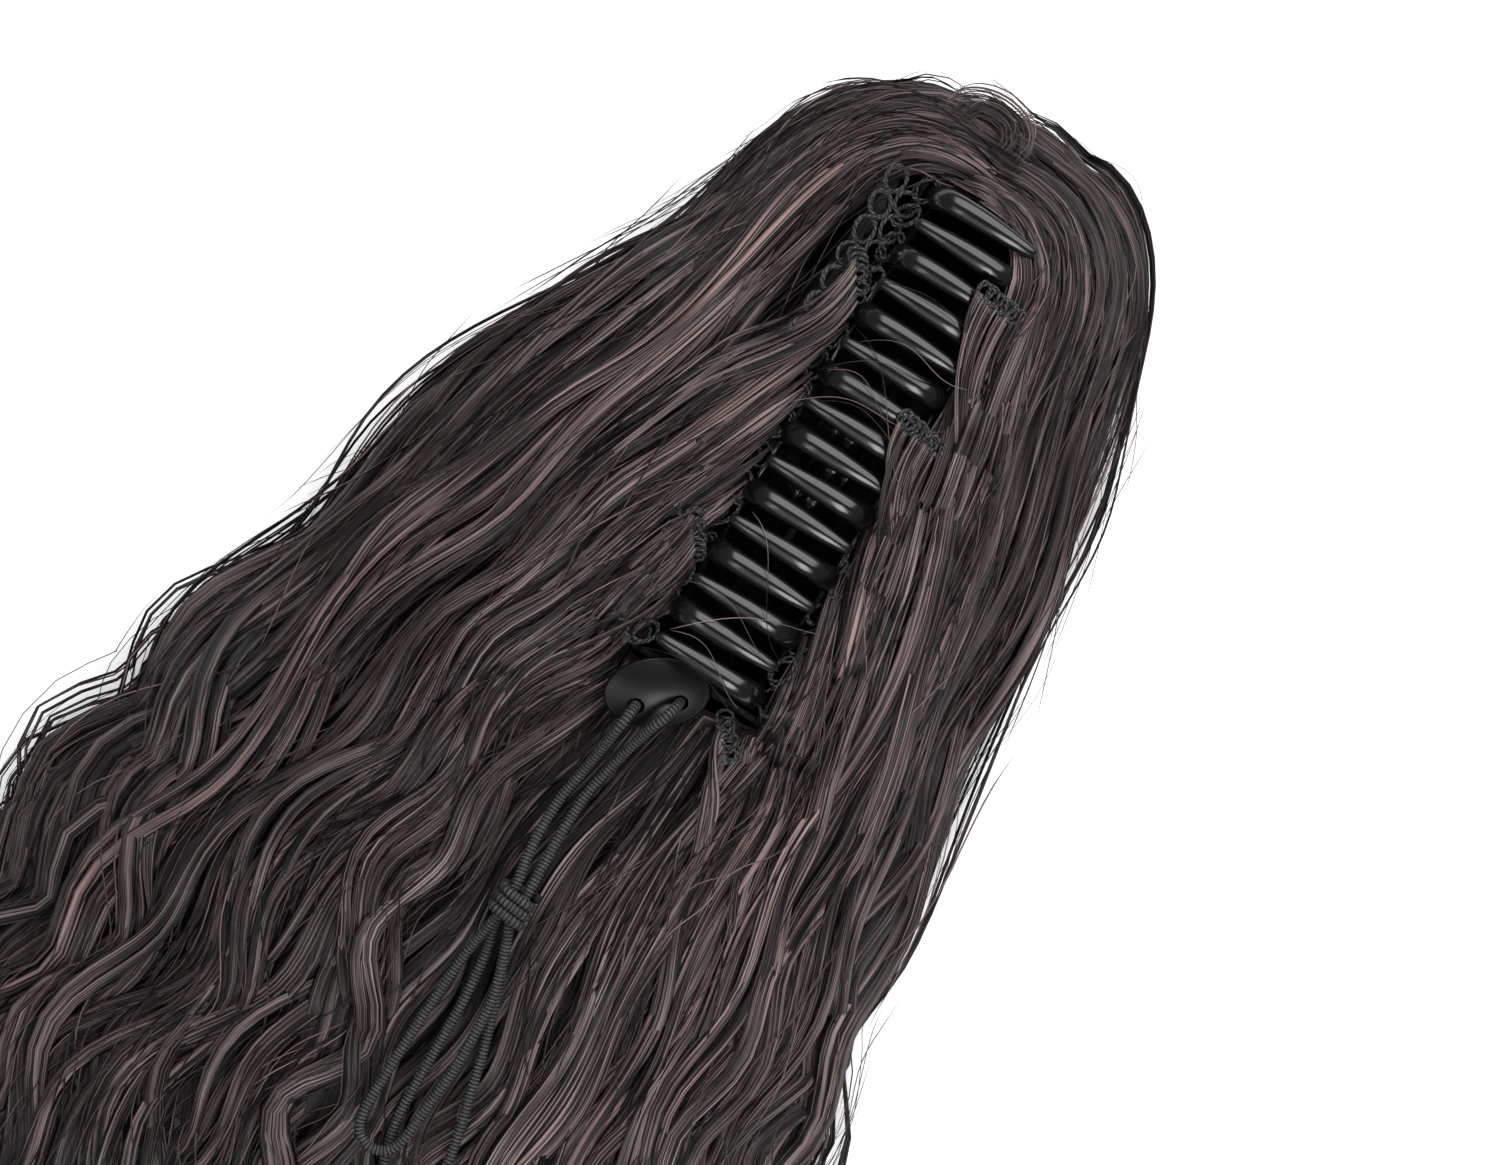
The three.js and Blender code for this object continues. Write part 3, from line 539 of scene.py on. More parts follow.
def tooth_points(side, y):
    """Rings round a tooth's line: a low dome of the square root of 1 - a^4 with a roof on
    it, whose crease is rounded as the square root of a^2 and a little. It narrows and
    thins to the tip, which ends in a quarter of a circle."""
    line = tooth_line(side, y)
    share = np.linspace(0, 1, len(line))
    to_tip = np.clip((share - tip_from) / tip_run, 0, 1)
    end = np.sqrt(np.clip(1 - to_tip**2, tip_least, 1))
    half = blend(tooth_base, tooth_tip, share**narrowing) / 2 * end
    thick = tooth_thick * (1 - thinning * share) * end
    a = np.sin(np.linspace(-np.pi / 2, np.pi / 2, section_steps))
    soft = crease_softness
    roof = 1 - (np.sqrt(a * a + soft) - soft**0.5) / ((1 + soft) ** 0.5 - soft**0.5)
    top = np.stack([a, dome_foot + dome_top * np.sqrt(np.clip(1 - a**4, 0, 1))], axis=1)
    back = a[-2:0:-1]
    low = np.stack([back, dome_foot - dome_belly * np.sqrt(1 - back**4)], axis=1)
    along = unit(np.gradient(line, axis=0))
    width_way = np.array([0.0, 1.0, 0.0])
    out = unit(np.cross(along, width_way)) * -side
    section = np.vstack([top, low])
    crease = np.concatenate([roof * tooth_crease, np.zeros(len(low))])
    across = half[:, None] * section[:, 0]
    upward = thick[:, None] * section[:, 1] + crease * (half / tooth_base * 2)[:, None]
    return line[:, None] + across[..., None] * width_way + upward[..., None] * out[:, None]


# %% Closed forms from rings


def lofted(grids):
    """Rings of equal count, (rings, points, 3) each, as one set of points and faces, with
    both ends of each closed and all faces outwards."""
    points, faces, start = [], [], 0
    for grid in grids:
        m, k, _ = grid.shape
        index = np.arange(m * k).reshape(m, k) + start
        turned = np.roll(index, -1, axis=1)
        sides = np.stack([index[:-1], turned[:-1], turned[1:], index[1:]], axis=-1).reshape(-1, 4)
        ends = [index[:1, ::-1], index[-1:]]
        if solid_volume(grid) < 0:
            sides, ends = sides[:, ::-1], [row[:, ::-1] for row in ends]
        faces += [sides, *ends]
        points.append(grid.reshape(-1, 3))
        start += m * k
    return np.vstack(points), faces


def solid_volume(grid):
    """Six times the volume between the rings and their own middle, by triple products."""
    middle = grid - grid.reshape(-1, 3).mean(axis=0)
    a, b = middle[:-1], np.roll(middle, -1, axis=1)[:-1]
    c = middle[1:]
    return np.einsum("ijk,ijk->", np.cross(a, b), c)


def bar(outline, low_y, high_y):
    """A flat outline in x and z, carried along y."""
    flat = np.array(outline, float)
    return np.stack([np.insert(flat, 1, y, axis=1) for y in (low_y, high_y)])


# %% [markdown]
# ## The jaws
# Each jaw is one moulding: eight teeth, a wall that curves down to the hinge, knuckles round
# the pin and a lever for the finger. A boolean union of so many parts is slow and leaves
# thin faces. The parts are closed forms that run into each other, so one mesh can hold them
# all as they are.

# %% Walls and knuckles
wall = 2.0
wall_foot = 4.9
wall_line = [[12.0, 38.2], [12.0, 31.0], [11.2, 28.6], [9.0, 26.6], [wall_foot, 24.5]]
wall_past_tooth = 2.9
lever_line = [[wall_foot, 24.5], [wall_foot, 19.0], [8.5, 9.8]]
lever_half = 15
knuckle_radius, bore_radius, knuckle_half = 3.3, 1.8, 3.5
knuckle_pitch = 7.6
knuckle_places = (0.5, -1.5)
web_start, web_low, web_high = bore_radius + 0.5, 0.8, 2.2


def walled(line, thick):
    """An open line in x and z given a thickness, half to each side."""
    line = np.array(line, float)
    along = unit(np.gradient(line, axis=0))
    normal = np.stack([-along[:, 1], along[:, 0]], axis=1) * thick / 2
    return np.vstack([line + normal, (line - normal)[::-1]])


def knuckle(side, y):
    """A ring round the pin, as a hollow bar along y, and the web from it to the wall."""
    circle = np.vstack([round_profile(24), round_profile(24)[:1]])
    hollow = np.vstack([circle * knuckle_radius, circle[::-1] * bore_radius]) + [0.0, hinge_z]
    web = [[side * web_start, hinge_z + web_low], [side * wall_foot, hinge_z + web_low],
           [side * wall_foot, hinge_z + web_high], [side * web_start, hinge_z + web_high]]
    return [bar(line, y - knuckle_half, y + knuckle_half) for line in (hollow, web)]


# %% Both jaws
for side, first, name, node in ((-1, first_left, "claw_jaw_left", "jaw_left"),
                                (1, first_right, "claw_jaw_right", "jaw_right")):
    last = first - (teeth_per_jaw - 1) * tooth_pitch
    parts = [tooth_points(side, first - i * tooth_pitch) for i in range(teeth_per_jaw)]
    for line, low_y, high_y in ((wall_line, last - wall_past_tooth, first + wall_past_tooth),
                                (lever_line, -lever_half, lever_half)):
        outline = walled([[side * x, z] for x, z in line], wall)
        parts.append(bar(outline, low_y, high_y))
    for place in knuckle_places:
        parts += knuckle(side, -side * place * knuckle_pitch)
    jaw_points, jaw_faces = lofted(parts)
    jaw = piece(name, jaw_points, jaw_faces, plastic)
    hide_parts(node)

# %% [markdown]
# ## The crocheted net, the bands and the plate
# The claw sits in a net of twisted thread. From above it shows as rings round holes along
# the claw's left side, a scalloped edge at both rows of teeth, and knots where small
# bundles of hair are tied on. Each ring is a closed tube of thread, drawn twice with a
# small wobble, so that it looks wound and not moulded. Under the teeth a plain trough,
# painted near black for the shade there, is enough.

# %% Thread material
thread_twist = 1.3
twist_slant = 1.6
# Near black for the painted shade in the groove between the plies.
thread_groove_painted_shade = (0.004, 0.004, 0.0045)
thread_greys = (0.012, 0.012, 0.013), (0.11, 0.11, 0.115)


def thread_colour(tree):
    """Fuzzy grey plies that wind round the thread, with painted shade as a dark groove between
    them.
    """
    uv = line_uv(tree)
    across = uv.node("ShaderNodeSeparateXYZ", 0, Vector=uv)
    along = uv.node("ShaderNodeSeparateXYZ", 1, Vector=uv)
    ply = wave_of(along + across * twist_slant, thread_twist)
    return mixed(tree, ply.ramp(0.1, 0.7), thread_groove_painted_shade, fuzzy(tree, 0.12, 0.5, *thread_greys))


def thread_height(tree):
    """Fibres that run along the thread."""
    return noise(along_map(tree, 0.15, 0.8, number(tree, "tone")), 3.0)


thread = material("crochet_thread", {"Roughness": 0.75, "Specular IOR Level": 0.3},
                  thread_colour, height=thread_height, bump=0.8)

# %% Material for the net's ground, in painted shade
weave_scale = 900.0
# Near blacks of the weave, darker than the thread's own greys: painted shade in the trough under
# the teeth.
painted_shade_weave_greys = (0.002, 0.002, 0.0022), (0.02, 0.02, 0.021)


def ground_colour(tree):
    """Two near blacks in a fine weave: the thread's weave, darkened as painted shade under the
    teeth.
    """
    weave = noise(object_place(tree), 2.0, weave_scale)
    return mixed(tree, weave.ramp(0.45, 0.75), *painted_shade_weave_greys)


shaded_net_ground = material("net_ground_in_painted_shade", {"Roughness": 0.85, "Specular IOR Level": 0.2},
                       ground_colour)
print("thread with a twist each", thread_twist, "mm, on a dark ground")

# %% Rings of thread
lace = np.random.default_rng(21)
full_turn = 6.28


def loops(centres, first, second, thick, steps=22, wobble=0.16, windings=2):
    """Closed rings: centre + first cos t + second sin t, where first and second are the
    ring's two half axes, with a slow random wobble. Each ring is drawn windings times."""
    centres, first, second = (np.repeat(np.atleast_2d(given), windings, axis=0)
                              for given in (centres, first, second))
    n = len(centres)
    t = np.linspace(0, 2 * np.pi, steps)[None, :, None] + lace.uniform(0, full_turn, (n, 1, 1))
    swell = 1 + wobble * 0.5 * np.sin(2 * t + lace.uniform(0, full_turn, (n, 1, 1)))
    line = centres[:, None] + (first[:, None] * np.cos(t) + second[:, None] * np.sin(t)) * swell
    lift = wobble * 1.5 * np.sin(t * 3 + lace.uniform(0, full_turn, (n, 1, 1)))
    line[..., 2] += lift[..., 0]
    radius = thick * lace.uniform(0.8, 1.15, (n, 1)) * np.ones((1, steps))
    return line, radius


def thread_piece(name, parts, replaced):
    """Rings of the same number of steps as one piece of thread."""
    lines = np.concatenate([line for line, _ in parts])
    radius = np.concatenate([radius for _, radius in parts])
    made = tubes(name, lines, radius, radius, round_profile(5), thread,
                 numbers={"tone": lace.uniform(0, 1, len(lines))})
    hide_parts(*replaced)


# %% The net's holes and scalloped edges


hole_pitch = 6.0
hole_radius = 2.7
hole_thread = 0.42
hole_y = np.arange(-54.0, 51.0, hole_pitch)
# Columns: x, z, slope in degrees and shift along the claw of each row of holes.
hole_rows = [(-15.7, 41.4, 38, 0.0), (-20.1, 44.6, 38, 3.0), (16.2, 41.6, -48, 0.0)]
net_parts = []
for row_x, row_z, slope, shift in hole_rows:
    middles = np.stack([np.full_like(hole_y, row_x), hole_y + shift,
                        np.full_like(hole_y, row_z)], axis=1)
    tilt = math.radians(slope)
    flat_axis = np.array([math.cos(tilt), 0, -math.sin(tilt)]) * hole_radius
    net_parts.append(loops(middles, np.tile(flat_axis, (len(hole_y), 1)),
                           np.tile([0, hole_radius, 0], (len(hole_y), 1)), hole_thread))
scallop_x, scallop_z, scallop_thread, scallop_scatter = 13.9, 42.4, 0.3, 0.35
scallop_axes = [1.9, 0.3, 0.9], [0.2, 2.9, 0]
scallop_y = np.arange(-52.5, 56.0, tooth_pitch / 2)
for side in (-1, 1):
    middles = np.stack([np.full_like(scallop_y, side * scallop_x), scallop_y,
                        np.full_like(scallop_y, scallop_z)], axis=1)
    middles += lace.normal(0, scallop_scatter, middles.shape)
    first, second = (np.tile(axis, (len(scallop_y), 1)) for axis in scallop_axes)
    net_parts.append(loops(middles, first, second, scallop_thread, wobble=0.4))
thread_piece("net_rings", net_parts, ["net"])

# %% The trough under the claw
trough_half, trough_top = 15.3, 39.6
trough = [[-trough_half, trough_top], [-trough_half, 12.0], [-12.0, 6.4], [12.0, 6.4],
          [trough_half, 12.0], [trough_half, trough_top], [14.1, trough_top], [14.1, 12.5],
          [11.4, 7.6], [-11.4, 7.6], [-14.1, 12.5], [-14.1, trough_top]]
end_wall = [[-14.0, 12.0], [-11.0, 8.0], [11.0, 8.0], [14.0, 12.0], [14.0, 39.0], [-14.0, 39.0]]
trough_end, wall_inside, wall_outside = 57.5, 56.2, 57.4
trough_points, trough_faces = lofted([bar(trough, -trough_end, trough_end),
                                      bar(end_wall, -wall_outside, -wall_inside),
                                      bar(end_wall, wall_inside, wall_outside)])
# The trough is painted near black as the shade under the teeth.
piece("net_trough", trough_points, trough_faces, shaded_net_ground, smooth=False)

# %% [markdown]
# ## The knotted bands
# Small bundles of hair hang from short bands, which are rows of tight knots on the net. A
# band could be a textured strip, but its lumps catch the light one by one. So each knot is
# a small ring of the same thread, and each ring lies a little out of line.

# %% Knotted bands
# Middle and half reach of each band: two right, two left and one at the claw's end.
bands = [
    ("weft_band_right_upper", (10.4, 40.2, 50.9), (4.0, -0.6, -0.6)),
    ("weft_band_right_lower", (11.0, 9.8, 50.9), (4.2, -0.6, -0.6)),
    ("weft_band_left_upper", (-16.2, 30.4, 45.4), (-2.4, 3.4, 1.0)),
    ("weft_band_left_lower", (-16.2, -31.0, 45.4), (-2.4, 3.4, 1.0)),
    ("weft_band_end", (10.8, -62.6, 39.9), (2.2, -3.2, 0.0)),
]
knots = 8
knot_long, knot_broad, knot_lift, knot_thread = 1.25, 1.7, 0.35, 0.33
band_parts = []
for _, middle, reach in bands:
    along = np.linspace(-1, 1, knots)[:, None]
    middles = np.array(middle) + along * np.array(reach) + lace.normal(0, 0.25, (knots, 3))
    flat = unit(np.array([reach]))[0]
    across = np.array([-flat[1], flat[0], 0.0])
    turned = lace.normal(0, 0.3, (knots, 1))
    first = (flat + turned * across) * knot_long + np.array([0, 0, knot_lift])
    second = (across - turned * flat) * knot_broad
    band_parts.append(loops(middles, first, second, knot_thread))
thread_piece("band_knots", band_parts, [name for name, *_ in bands])

# %% [markdown]
# ## The cord's plate
# A small domed oval of satin plastic, with two holes for the cord. Its edge is a round bead
# and its back a shallow dome. Both are level rings of one ellipse, which is shorter than
# shaping a cylinder by hand, and a boolean cut then drills the holes through it.

# %% The plate
plate_middle = np.array([-6.0, -62.2, 40.4])
plate_half = np.array([11.0, 7.5])
plate_thick, plate_dome = 2.4, 1.2
plate_turn, plate_tilt = math.radians(36), math.radians(14)
hole_gap, hole_shift, cord_hole = 9.0, -2.0, 1.65


def turned_pair(a, b, angle):
    """Two coordinates turned by an angle: a cos - b sin, and a sin + b cos."""
    cos, sin = math.cos(angle), math.sin(angle)
    return a * cos - b * sin, a * sin + b * cos


def plate_place(points):
    """Points in the plate's own frame, tilted about its long axis and then turned."""
    y, z = turned_pair(points[..., 1], points[..., 2], plate_tilt)
    x, y = turned_pair(points[..., 0], y, plate_turn)
    return np.stack([x, y, z], axis=-1) + plate_middle


def oval(share, z, k=96):
    """A level ring of the plate: an ellipse a share of the plate's size."""
    turn = np.linspace(0, 2 * np.pi, k, endpoint=False)
    return np.stack([plate_half[0] * share * np.cos(turn), plate_half[1] * share * np.sin(turn),
                     np.full(k, z)], axis=1)


def satin_roughness(tree):
    """The gloss plastic's roughness, and some more all over."""
    return plastic_roughness(tree) + 0.14


satin = material("satin_black_plastic", {"Base Color": black, "Specular IOR Level": 0.3},
                 roughness=satin_roughness, height=plastic_height, bump=0.2, depth=0.0001)

# %% The plate's form
edge_share, bead_height = 0.93, 0.8 * plate_thick
edge_turn = np.linspace(-np.pi / 2, np.pi / 2, 13)
levels = [oval(edge_share + (1 - edge_share) * math.cos(t), bead_height * (0.5 + 0.5 * math.sin(t)))
          for t in edge_turn]
dome_height = plate_dome + plate_thick - bead_height
levels += [oval(share, bead_height + dome_height * (1 - (share / edge_share) ** 2))
           for share in np.linspace(0.9, 0.02, 22)]
plate_points, plate_faces = lofted([plate_place(np.stack(levels))])
plate = piece("cord_plate_dome", plate_points, plate_faces, satin)
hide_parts("cord_plate")

# %% The plate's holes
drill_low, drill_high = -6.0, 9.0
drills = []
for side in (-1, 1):
    circle = round_profile(40) * cord_hole + np.array([side * hole_gap / 2, hole_shift])
    ends = [np.insert(circle, 2, z, axis=1) for z in (drill_low, drill_high)]
    drills.append(plate_place(np.stack(ends)))
drill_points, drill_faces = lofted(drills)
drill = piece("plate_drill", drill_points, drill_faces, plastic, smooth=False)
cut = plate.modifiers.new("holes", "BOOLEAN")
cut.operation, cut.object, cut.solver = "DIFFERENCE", drill, "EXACT"
depsgraph = bpy.context.evaluated_depsgraph_get()
drilled = bpy.data.meshes.new_from_object(plate.evaluated_get(depsgraph))
plate.modifiers.clear()
plate.data = drilled
bpy.data.objects.remove(drill)
print("plate", len(drilled.polygons), "faces with two holes")

# %% [markdown]
# ## The hinge pin
# A plain steel rod, seen only as dark glints between the teeth. The model's own cylinder
# has the right form already, so it keeps it and only gets a blackened finish.

# %% The pin's finish
steel_dark = (0.03, 0.03, 0.033, 1.0)


def steel_roughness(tree):
    """Fine streaky wear on the metal."""
    return 0.25 + noise(object_place(tree), 3.0, 700.0) * 0.2


steel = material("blackened_steel", {"Base Color": steel_dark, "Metallic": 1.0},
                 roughness=steel_roughness)
pin = bpy.data.objects["hinge_pin"]
pin.material_slots[0].material = steel
print("pin at height", round(hinge_z, 2))

# %% [markdown]
# ## The form of the hair
# The hair lies as thick as the claw beside it and thins towards the tips. Its edges and
# its top are short tables of what was measured across it, from the crown down. Every
# strand follows lanes between these edges, so the dressed hair keeps the model's form.

# %% Edges and top of the hair
# Columns: y, left edge, right edge, top.
form = np.array([
    [72.5, -17, 11, 24], [70, -24, 17, 33], [65, -30, 23, 41], [58, -35, 30, 46],
    [48, -40, 36, 48], [36, -45, 40, 48], [20, -50, 44, 48], [4, -59, 47, 48],
    [-12, -66, 50, 47.5], [-30, -74, 52.5, 46], [-57.5, -80, 55, 42], [-94, -89, 61, 40],
    [-131, -101, 68, 37.8], [-204, -110, 78, 33.6], [-277, -112, 80, 30.2], [-350, -104, 76, 25],
    [-394, -93, 66, 18.5], [-424, -81, 55, 11],
])[::-1]
form_y = form[:, 0]
tip_y = -424.0
side_height = 9
dome_power = 2.6
crown_fullness, tail_fullness = 0.5, 0.8
fuller_from, fuller_to = -33, 66
# Columns: x, y, half size in x and y, and depth of the parting and of the dark hollow.
dents = [(-4, 64, 5, 5, 6), (-27, 27, 5, 14, 16)]


def edge(y, column):
    """A column of the form's table at y, on straight lines between its rows."""
    return np.interp(y, form_y, form[:, column])


def surface_z(x, y):
    """Height of the hair's top: a dome across it that gets rounder down the tail, less a
    bell-shaped dent at the parting and another at the dark hollow left of the claw."""
    left, right, top = edge(y, 1), edge(y, 2), edge(y, 3)
    across = np.clip(np.abs((x - (left + right) / 2) / ((right - left) / 2)), 0, 1)
    fullness = blend(crown_fullness, tail_fullness, smooth(-y, fuller_from, fuller_to))
    z = side_height + (top - side_height) * (1 - across**dome_power) ** fullness
    for at_x, at_y, half_x, half_y, deep in dents:
        z = z - deep * np.exp(-((x - at_x) / half_x) ** 2 - ((y - at_y) / half_y) ** 2)
    return z


print("hair from y", form_y[-1], "to", tip_y)

# %% Room under the cord
bed_y, bed_z = (-196, -58), (33.0, 37.0)
bed_left, bed_right = -15, 11
bank_slope = 0.8


def cord_bed(x, y):
    """The height that the hair keeps to under the cord: low in the bed, free outside it."""
    aside = np.maximum(np.maximum(bed_left - x, x - bed_right), 0)
    past = np.maximum(np.maximum(bed_y[0] - y, y - bed_y[1] - 1), 0)
    return np.interp(y, bed_y, bed_z) + bank_slope * aside + bank_slope * past


# %% [markdown]
# ## Locks of hair
# Real hair like this falls in locks of many clumps, and each clump of many fibres. Single
# fibres would be far too many faces, and one displaced sheet has no depth. So there are
# three sizes: guide lines place the locks and their waves, each guide carries a few flat
# clumps that twist round it, and thin wisps stray between them. The finest fibres are
# streaks in the clumps' material.

# %% Hair material
brown, warm_brown = (0.31, 0.236, 0.232), (0.41, 0.268, 0.26)
deep_brown = (0.06, 0.042, 0.04)
# Near black for the painted shade in the gaps between fibres.
painted_shade_between_fibres = (0.0015, 0.001, 0.001)
# Near black for the painted shade inside the hair, where the painted light is low.
painted_shade_inside_hair = (0.001, 0.0006, 0.0006)
fibre_width, fibre_length = 0.34, 60.0
# Paler patches along the fibres are painted highlights, as of sheen on the waves, and vary the
# colour at random as well.
highlight_patch_width, highlight_patch_length = 1.6, 34.0


def hair_colour(tree):
    """Painted shade as dark lines between fibres, over patches from a deep brown to a paler
    one: the paler patches are painted highlights and vary the colour at random as well. All of
    it is darkened to a near black, as painted shade, by the painted light that each point carries."""
    tone = number(tree, "tone")
    streak = noise(along_map(tree, fibre_width, fibre_length, tone), 2.0, Roughness=0.6)
    highlight_patch = noise(along_map(tree, highlight_patch_width, highlight_patch_length, tone + 3.0), 2.0)
    pale = mixed(tree, tone.ramp(0.35, 0.9), brown, warm_brown)
    shade = mixed(tree, highlight_patch.ramp(0.3, 0.7), deep_brown, pale)
    strand = mixed(tree, streak.ramp(0.45, 0.60), painted_shade_between_fibres, shade)
    # Painted shade: darker where each point's painted light is low.
    return mixed(tree, number(tree, "painted_light"), painted_shade_inside_hair, strand)


def hair_height(tree):
    """Fine ridges along the fibres."""
    return noise(along_map(tree, 0.36, 70.0, number(tree, "tone")), 3.0, Roughness=0.8)


def hair_roughness(tree):
    """A sheen that varies along and across the fibres."""
    return 0.22 + noise(along_map(tree, 0.5, 25.0, number(tree, "tone")), 2.0) * 0.24


fibre = material("dark_brown_fibre", {"Specular IOR Level": 0.3}, hair_colour, hair_roughness,
                 hair_height, bump=1.0, depth=0.0004)
print("fibres", fibre_width, "mm wide")

# %% Lanes
# Side -1 is left of the claw, 1 is right of it, 0 is the middle under the cord. A lane's
# place runs from 0 beside the claw to 1 at the hair's edge. Hair of the places up to
# crown_from starts along the net's side, and the rest at the parting.
random = np.random.default_rng(7)
crown_from = 0.62
crown_middle = np.array([-4.0, 40.0])
root_low, root_high = -57.0, 58.0
hidden_root, shown_root = 17.5, 13.3
inner_y = [-424, -250, -120, -57]
inner_x = {-1: [-40, -38, -28, -17.5], 1: [24, 22, 19, 17.5]}
most_past_edge = 1.15


def inner(side, y):
    """Where the side's lanes start at y, beside the claw and down the middle."""
    return np.interp(y, inner_y, inner_x[side])


def outer(side, y):
    """The hair's edge on a side at y."""
    return edge(y, 1 if side < 0 else 2)


def rooted_at(y):
    """The place whose hair starts at y: 0 at the net's low end, crown_from at its top."""
    return crown_from * np.clip((y - root_low) / (root_high - root_low), 0, 1)


def lane_x(side, place, y, root=hidden_root):
    """Where a lane lies across the hair at y: between the net's side and the hair's edge,
    in order of where its hair starts."""
    if side == 0:
        return blend(inner(-1, y), inner(1, y), place)
    rooted = rooted_at(y)
    share = np.clip((place - rooted) / (1 - rooted), 0, most_past_edge)
    start = inner(side, y) - side * (hidden_root - root) * smooth(y, -75, -57)
    return blend(start, outer(side, y), share)


print("lanes from", hidden_root, "mm beside the claw, or", shown_root, "over the net")

# %% Stations down a guide
steps = 86
station = np.linspace(0, 1, steps)
station = station * (0.7 + 0.3 * station)
under_claw = 6


def side_line(side, place, end_y, root):
    """A guide that starts at the net's side, or under the claw's end for the middle."""
    start = root_low + under_claw if side == 0 else blend(root_low, root_high, place / crown_from)
    y = blend(start, end_y, station)
    return lane_x(side, place, y, root), y


# %% Guides from the parting
on_arc = 16
clear_left, clear_y, clear_half = 8.5, 30, 20
parting_swing = (0.06, 0.3)
first_radius, last_radius = 18.7, 30.0
first_pull, last_pull = 4.0, 9.0


def eased(values, reach=3):
    """Each value as the mean of those within reach, to round a corner between two parts."""
    longer = np.pad(values, reach, mode="reflect", reflect_type="odd")
    return np.convolve(longer, np.full(2 * reach + 1, 1 / (2 * reach + 1)), "valid")


def crown_line(side, place, end_y, root):
    """A guide from the parting: it swings out round the claw's head end on a widening arc
    and then runs down its lane. The parting runs away from the claw, so the outer hair
    starts further from it."""
    y = blend(crown_middle[1], end_y, station[: steps - on_arc + 1] / station[steps - on_arc])[1:]
    order = (place - crown_from) / (1 - crown_from)
    clear = (clear_left if side < 0 else 0.0) * (1 - order)
    bulge = np.exp(-((y - clear_y) / clear_half) ** 2)
    x = lane_x(side, place, y, root) + side * clear * bulge
    swing = np.linspace(-random.uniform(*parting_swing), 1, on_arc)
    reach = abs(x[0] - crown_middle[0])
    start = blend(first_radius, last_radius, np.clip(order, 0, 1) ** 0.8)
    pull = blend(first_pull, last_pull, order)
    radius = reach + (start - reach) * np.exp(-np.abs(swing) * pull)
    angle = swing * np.pi / 2
    arc_x = crown_middle[0] + side * radius * np.sin(angle)
    arc_y = crown_middle[1] + radius * np.cos(angle)
    return eased(np.append(arc_x, x)), eased(np.append(arc_y, y))


# %% Waves
wave_step = 5.0
crown_wave, tail_wave = 66, 43
wave_run = np.arange(-80.0, 440.0, wave_step)
wave_turns = np.cumsum(wave_step / blend(crown_wave, tail_wave, smooth(wave_run, 20, 190)))


def wave_phase(x, y):
    """The waves' angle at a place: turns counted down the tail, where they get shorter, and
    a slow drift across it, so that neighbours wave together."""
    turns = np.interp(-y, wave_run, wave_turns)
    return 2 * np.pi * turns + 1.7 * np.sin(x / 15 + y / 80) + 1.3 * np.sin(x / 31 - y / 52 + 1.3)


print("waves of", crown_wave, "mm at the crown and", tail_wave, "mm down the tail")

# %% One guide
lip_top, lip_slope, lip_width, lip_reach = 40.6, 0.8, 6, 23
wave_side, wave_up, wave_lag = 3.9, 2.4, 0.6
bow_side, bow_length, bow_clear = 4.5, 150, 12
form_width = 190
under_top, bottom = 1.2, 2.5


def lip_z(x):
    """The top of the net's flared lips, which hair rooted inside them passes over."""
    out = np.abs(x)
    lip = lip_top + lip_slope * np.clip(out - trough_half, 0, lip_width)
    return np.where(out < lip_reach, lip, 0)

def guide(side, place, depth, end_y, loose=0.0, crown=False):
    """One guide's line: x + a sin(wave) + b sin(bow), and z + c cos(wave and a little),
    where the wave grows from the claw's head on, and the bow is one slow meander that
    fades at the hair's edges. It rises from its root within its first few stations."""
    from_crown = side != 0 and (place > crown_from or crown)
    shown = depth > 0.95
    root = shown_root if shown else hidden_root
    x, y = (crown_line if from_crown else side_line)(side, place, end_y, root)
    width = (edge(y, 2) - edge(y, 1)) / form_width
    wave = wave_phase(x, y) + random.normal(0, 0.4)
    wave = wave + 0.9 * np.sin(y / 47 + random.uniform(0, full_turn))
    strength = smooth(-y, -20, 110) * (1 + random.normal(0, 0.2) + 0.15 * loose)
    strength = strength * (0.85 + 0.35 * np.sin(y / 58 + x / 31))
    bow = np.sin(2 * np.pi * y / bow_length + random.uniform(0, full_turn))
    inside = smooth(np.minimum(x - edge(y, 1), edge(y, 2) - x), 0, bow_clear)
    x = x + strength * width * (wave_side * np.sin(wave) + bow_side * bow * inside)
    top = surface_z(x, y) - under_top + random.normal(0, 0.8) * smooth(-y, -30, 40)
    lift = wave_up * strength * np.cos(wave + wave_lag) * min(1.0, depth * 2)
    z = blend(bottom, top, depth) + lift
    if shown and side != 0 and (crown or not from_crown):
        z = np.maximum(z, np.where(y > claw_tail, lip_z(x) + 1.2, 0))
    if side == 0:
        start = blend(10, 31, depth)
    elif from_crown:
        start = surface_z(x[0], y[0]) - 7
    else:
        start = 42.0 if shown else blend(14, 38, depth)
    z = blend(start, z, smooth(station, 0.0, 0.03 if from_crown else 0.04))
    return np.stack([x, y, z], axis=1)


# %% Guides
layers = [
    # side, number of locks, depth as a share of the height, first place
    (-1, 15, 1.00, 0.015), (-1, 13, 0.88, 0.04), (-1, 7, 0.55, 0.08), (-1, 6, 0.10, 0.10),
    (1, 11, 1.00, 0.015), (1, 9, 0.88, 0.05), (1, 5, 0.55, 0.08), (1, 4, 0.10, 0.10),
    (0, 5, 1.00, 0.08), (0, 5, 0.86, 0.15), (0, 2, 0.50, 0.20), (0, 4, 0.10, 0.10),
]
loose_places = (1.02, 1.05, 1.08)
more_crown_places = (0.44, 0.50, 0.56, 0.61)
tip_spread, loose_spread = 46, 60
hollow_from = 0.45
guides = []
for side, count, depth, first_place in layers:
    for i in range(count):
        place = blend(first_place, 0.97, i / (count - 1))
        hollow = side < 0 and hollow_from < place < crown_from and depth > 0.5
        if not hollow:
            end_y = tip_y + random.uniform(0, tip_spread)
            guides.append((side, place, depth, guide(side, place, depth, end_y)))
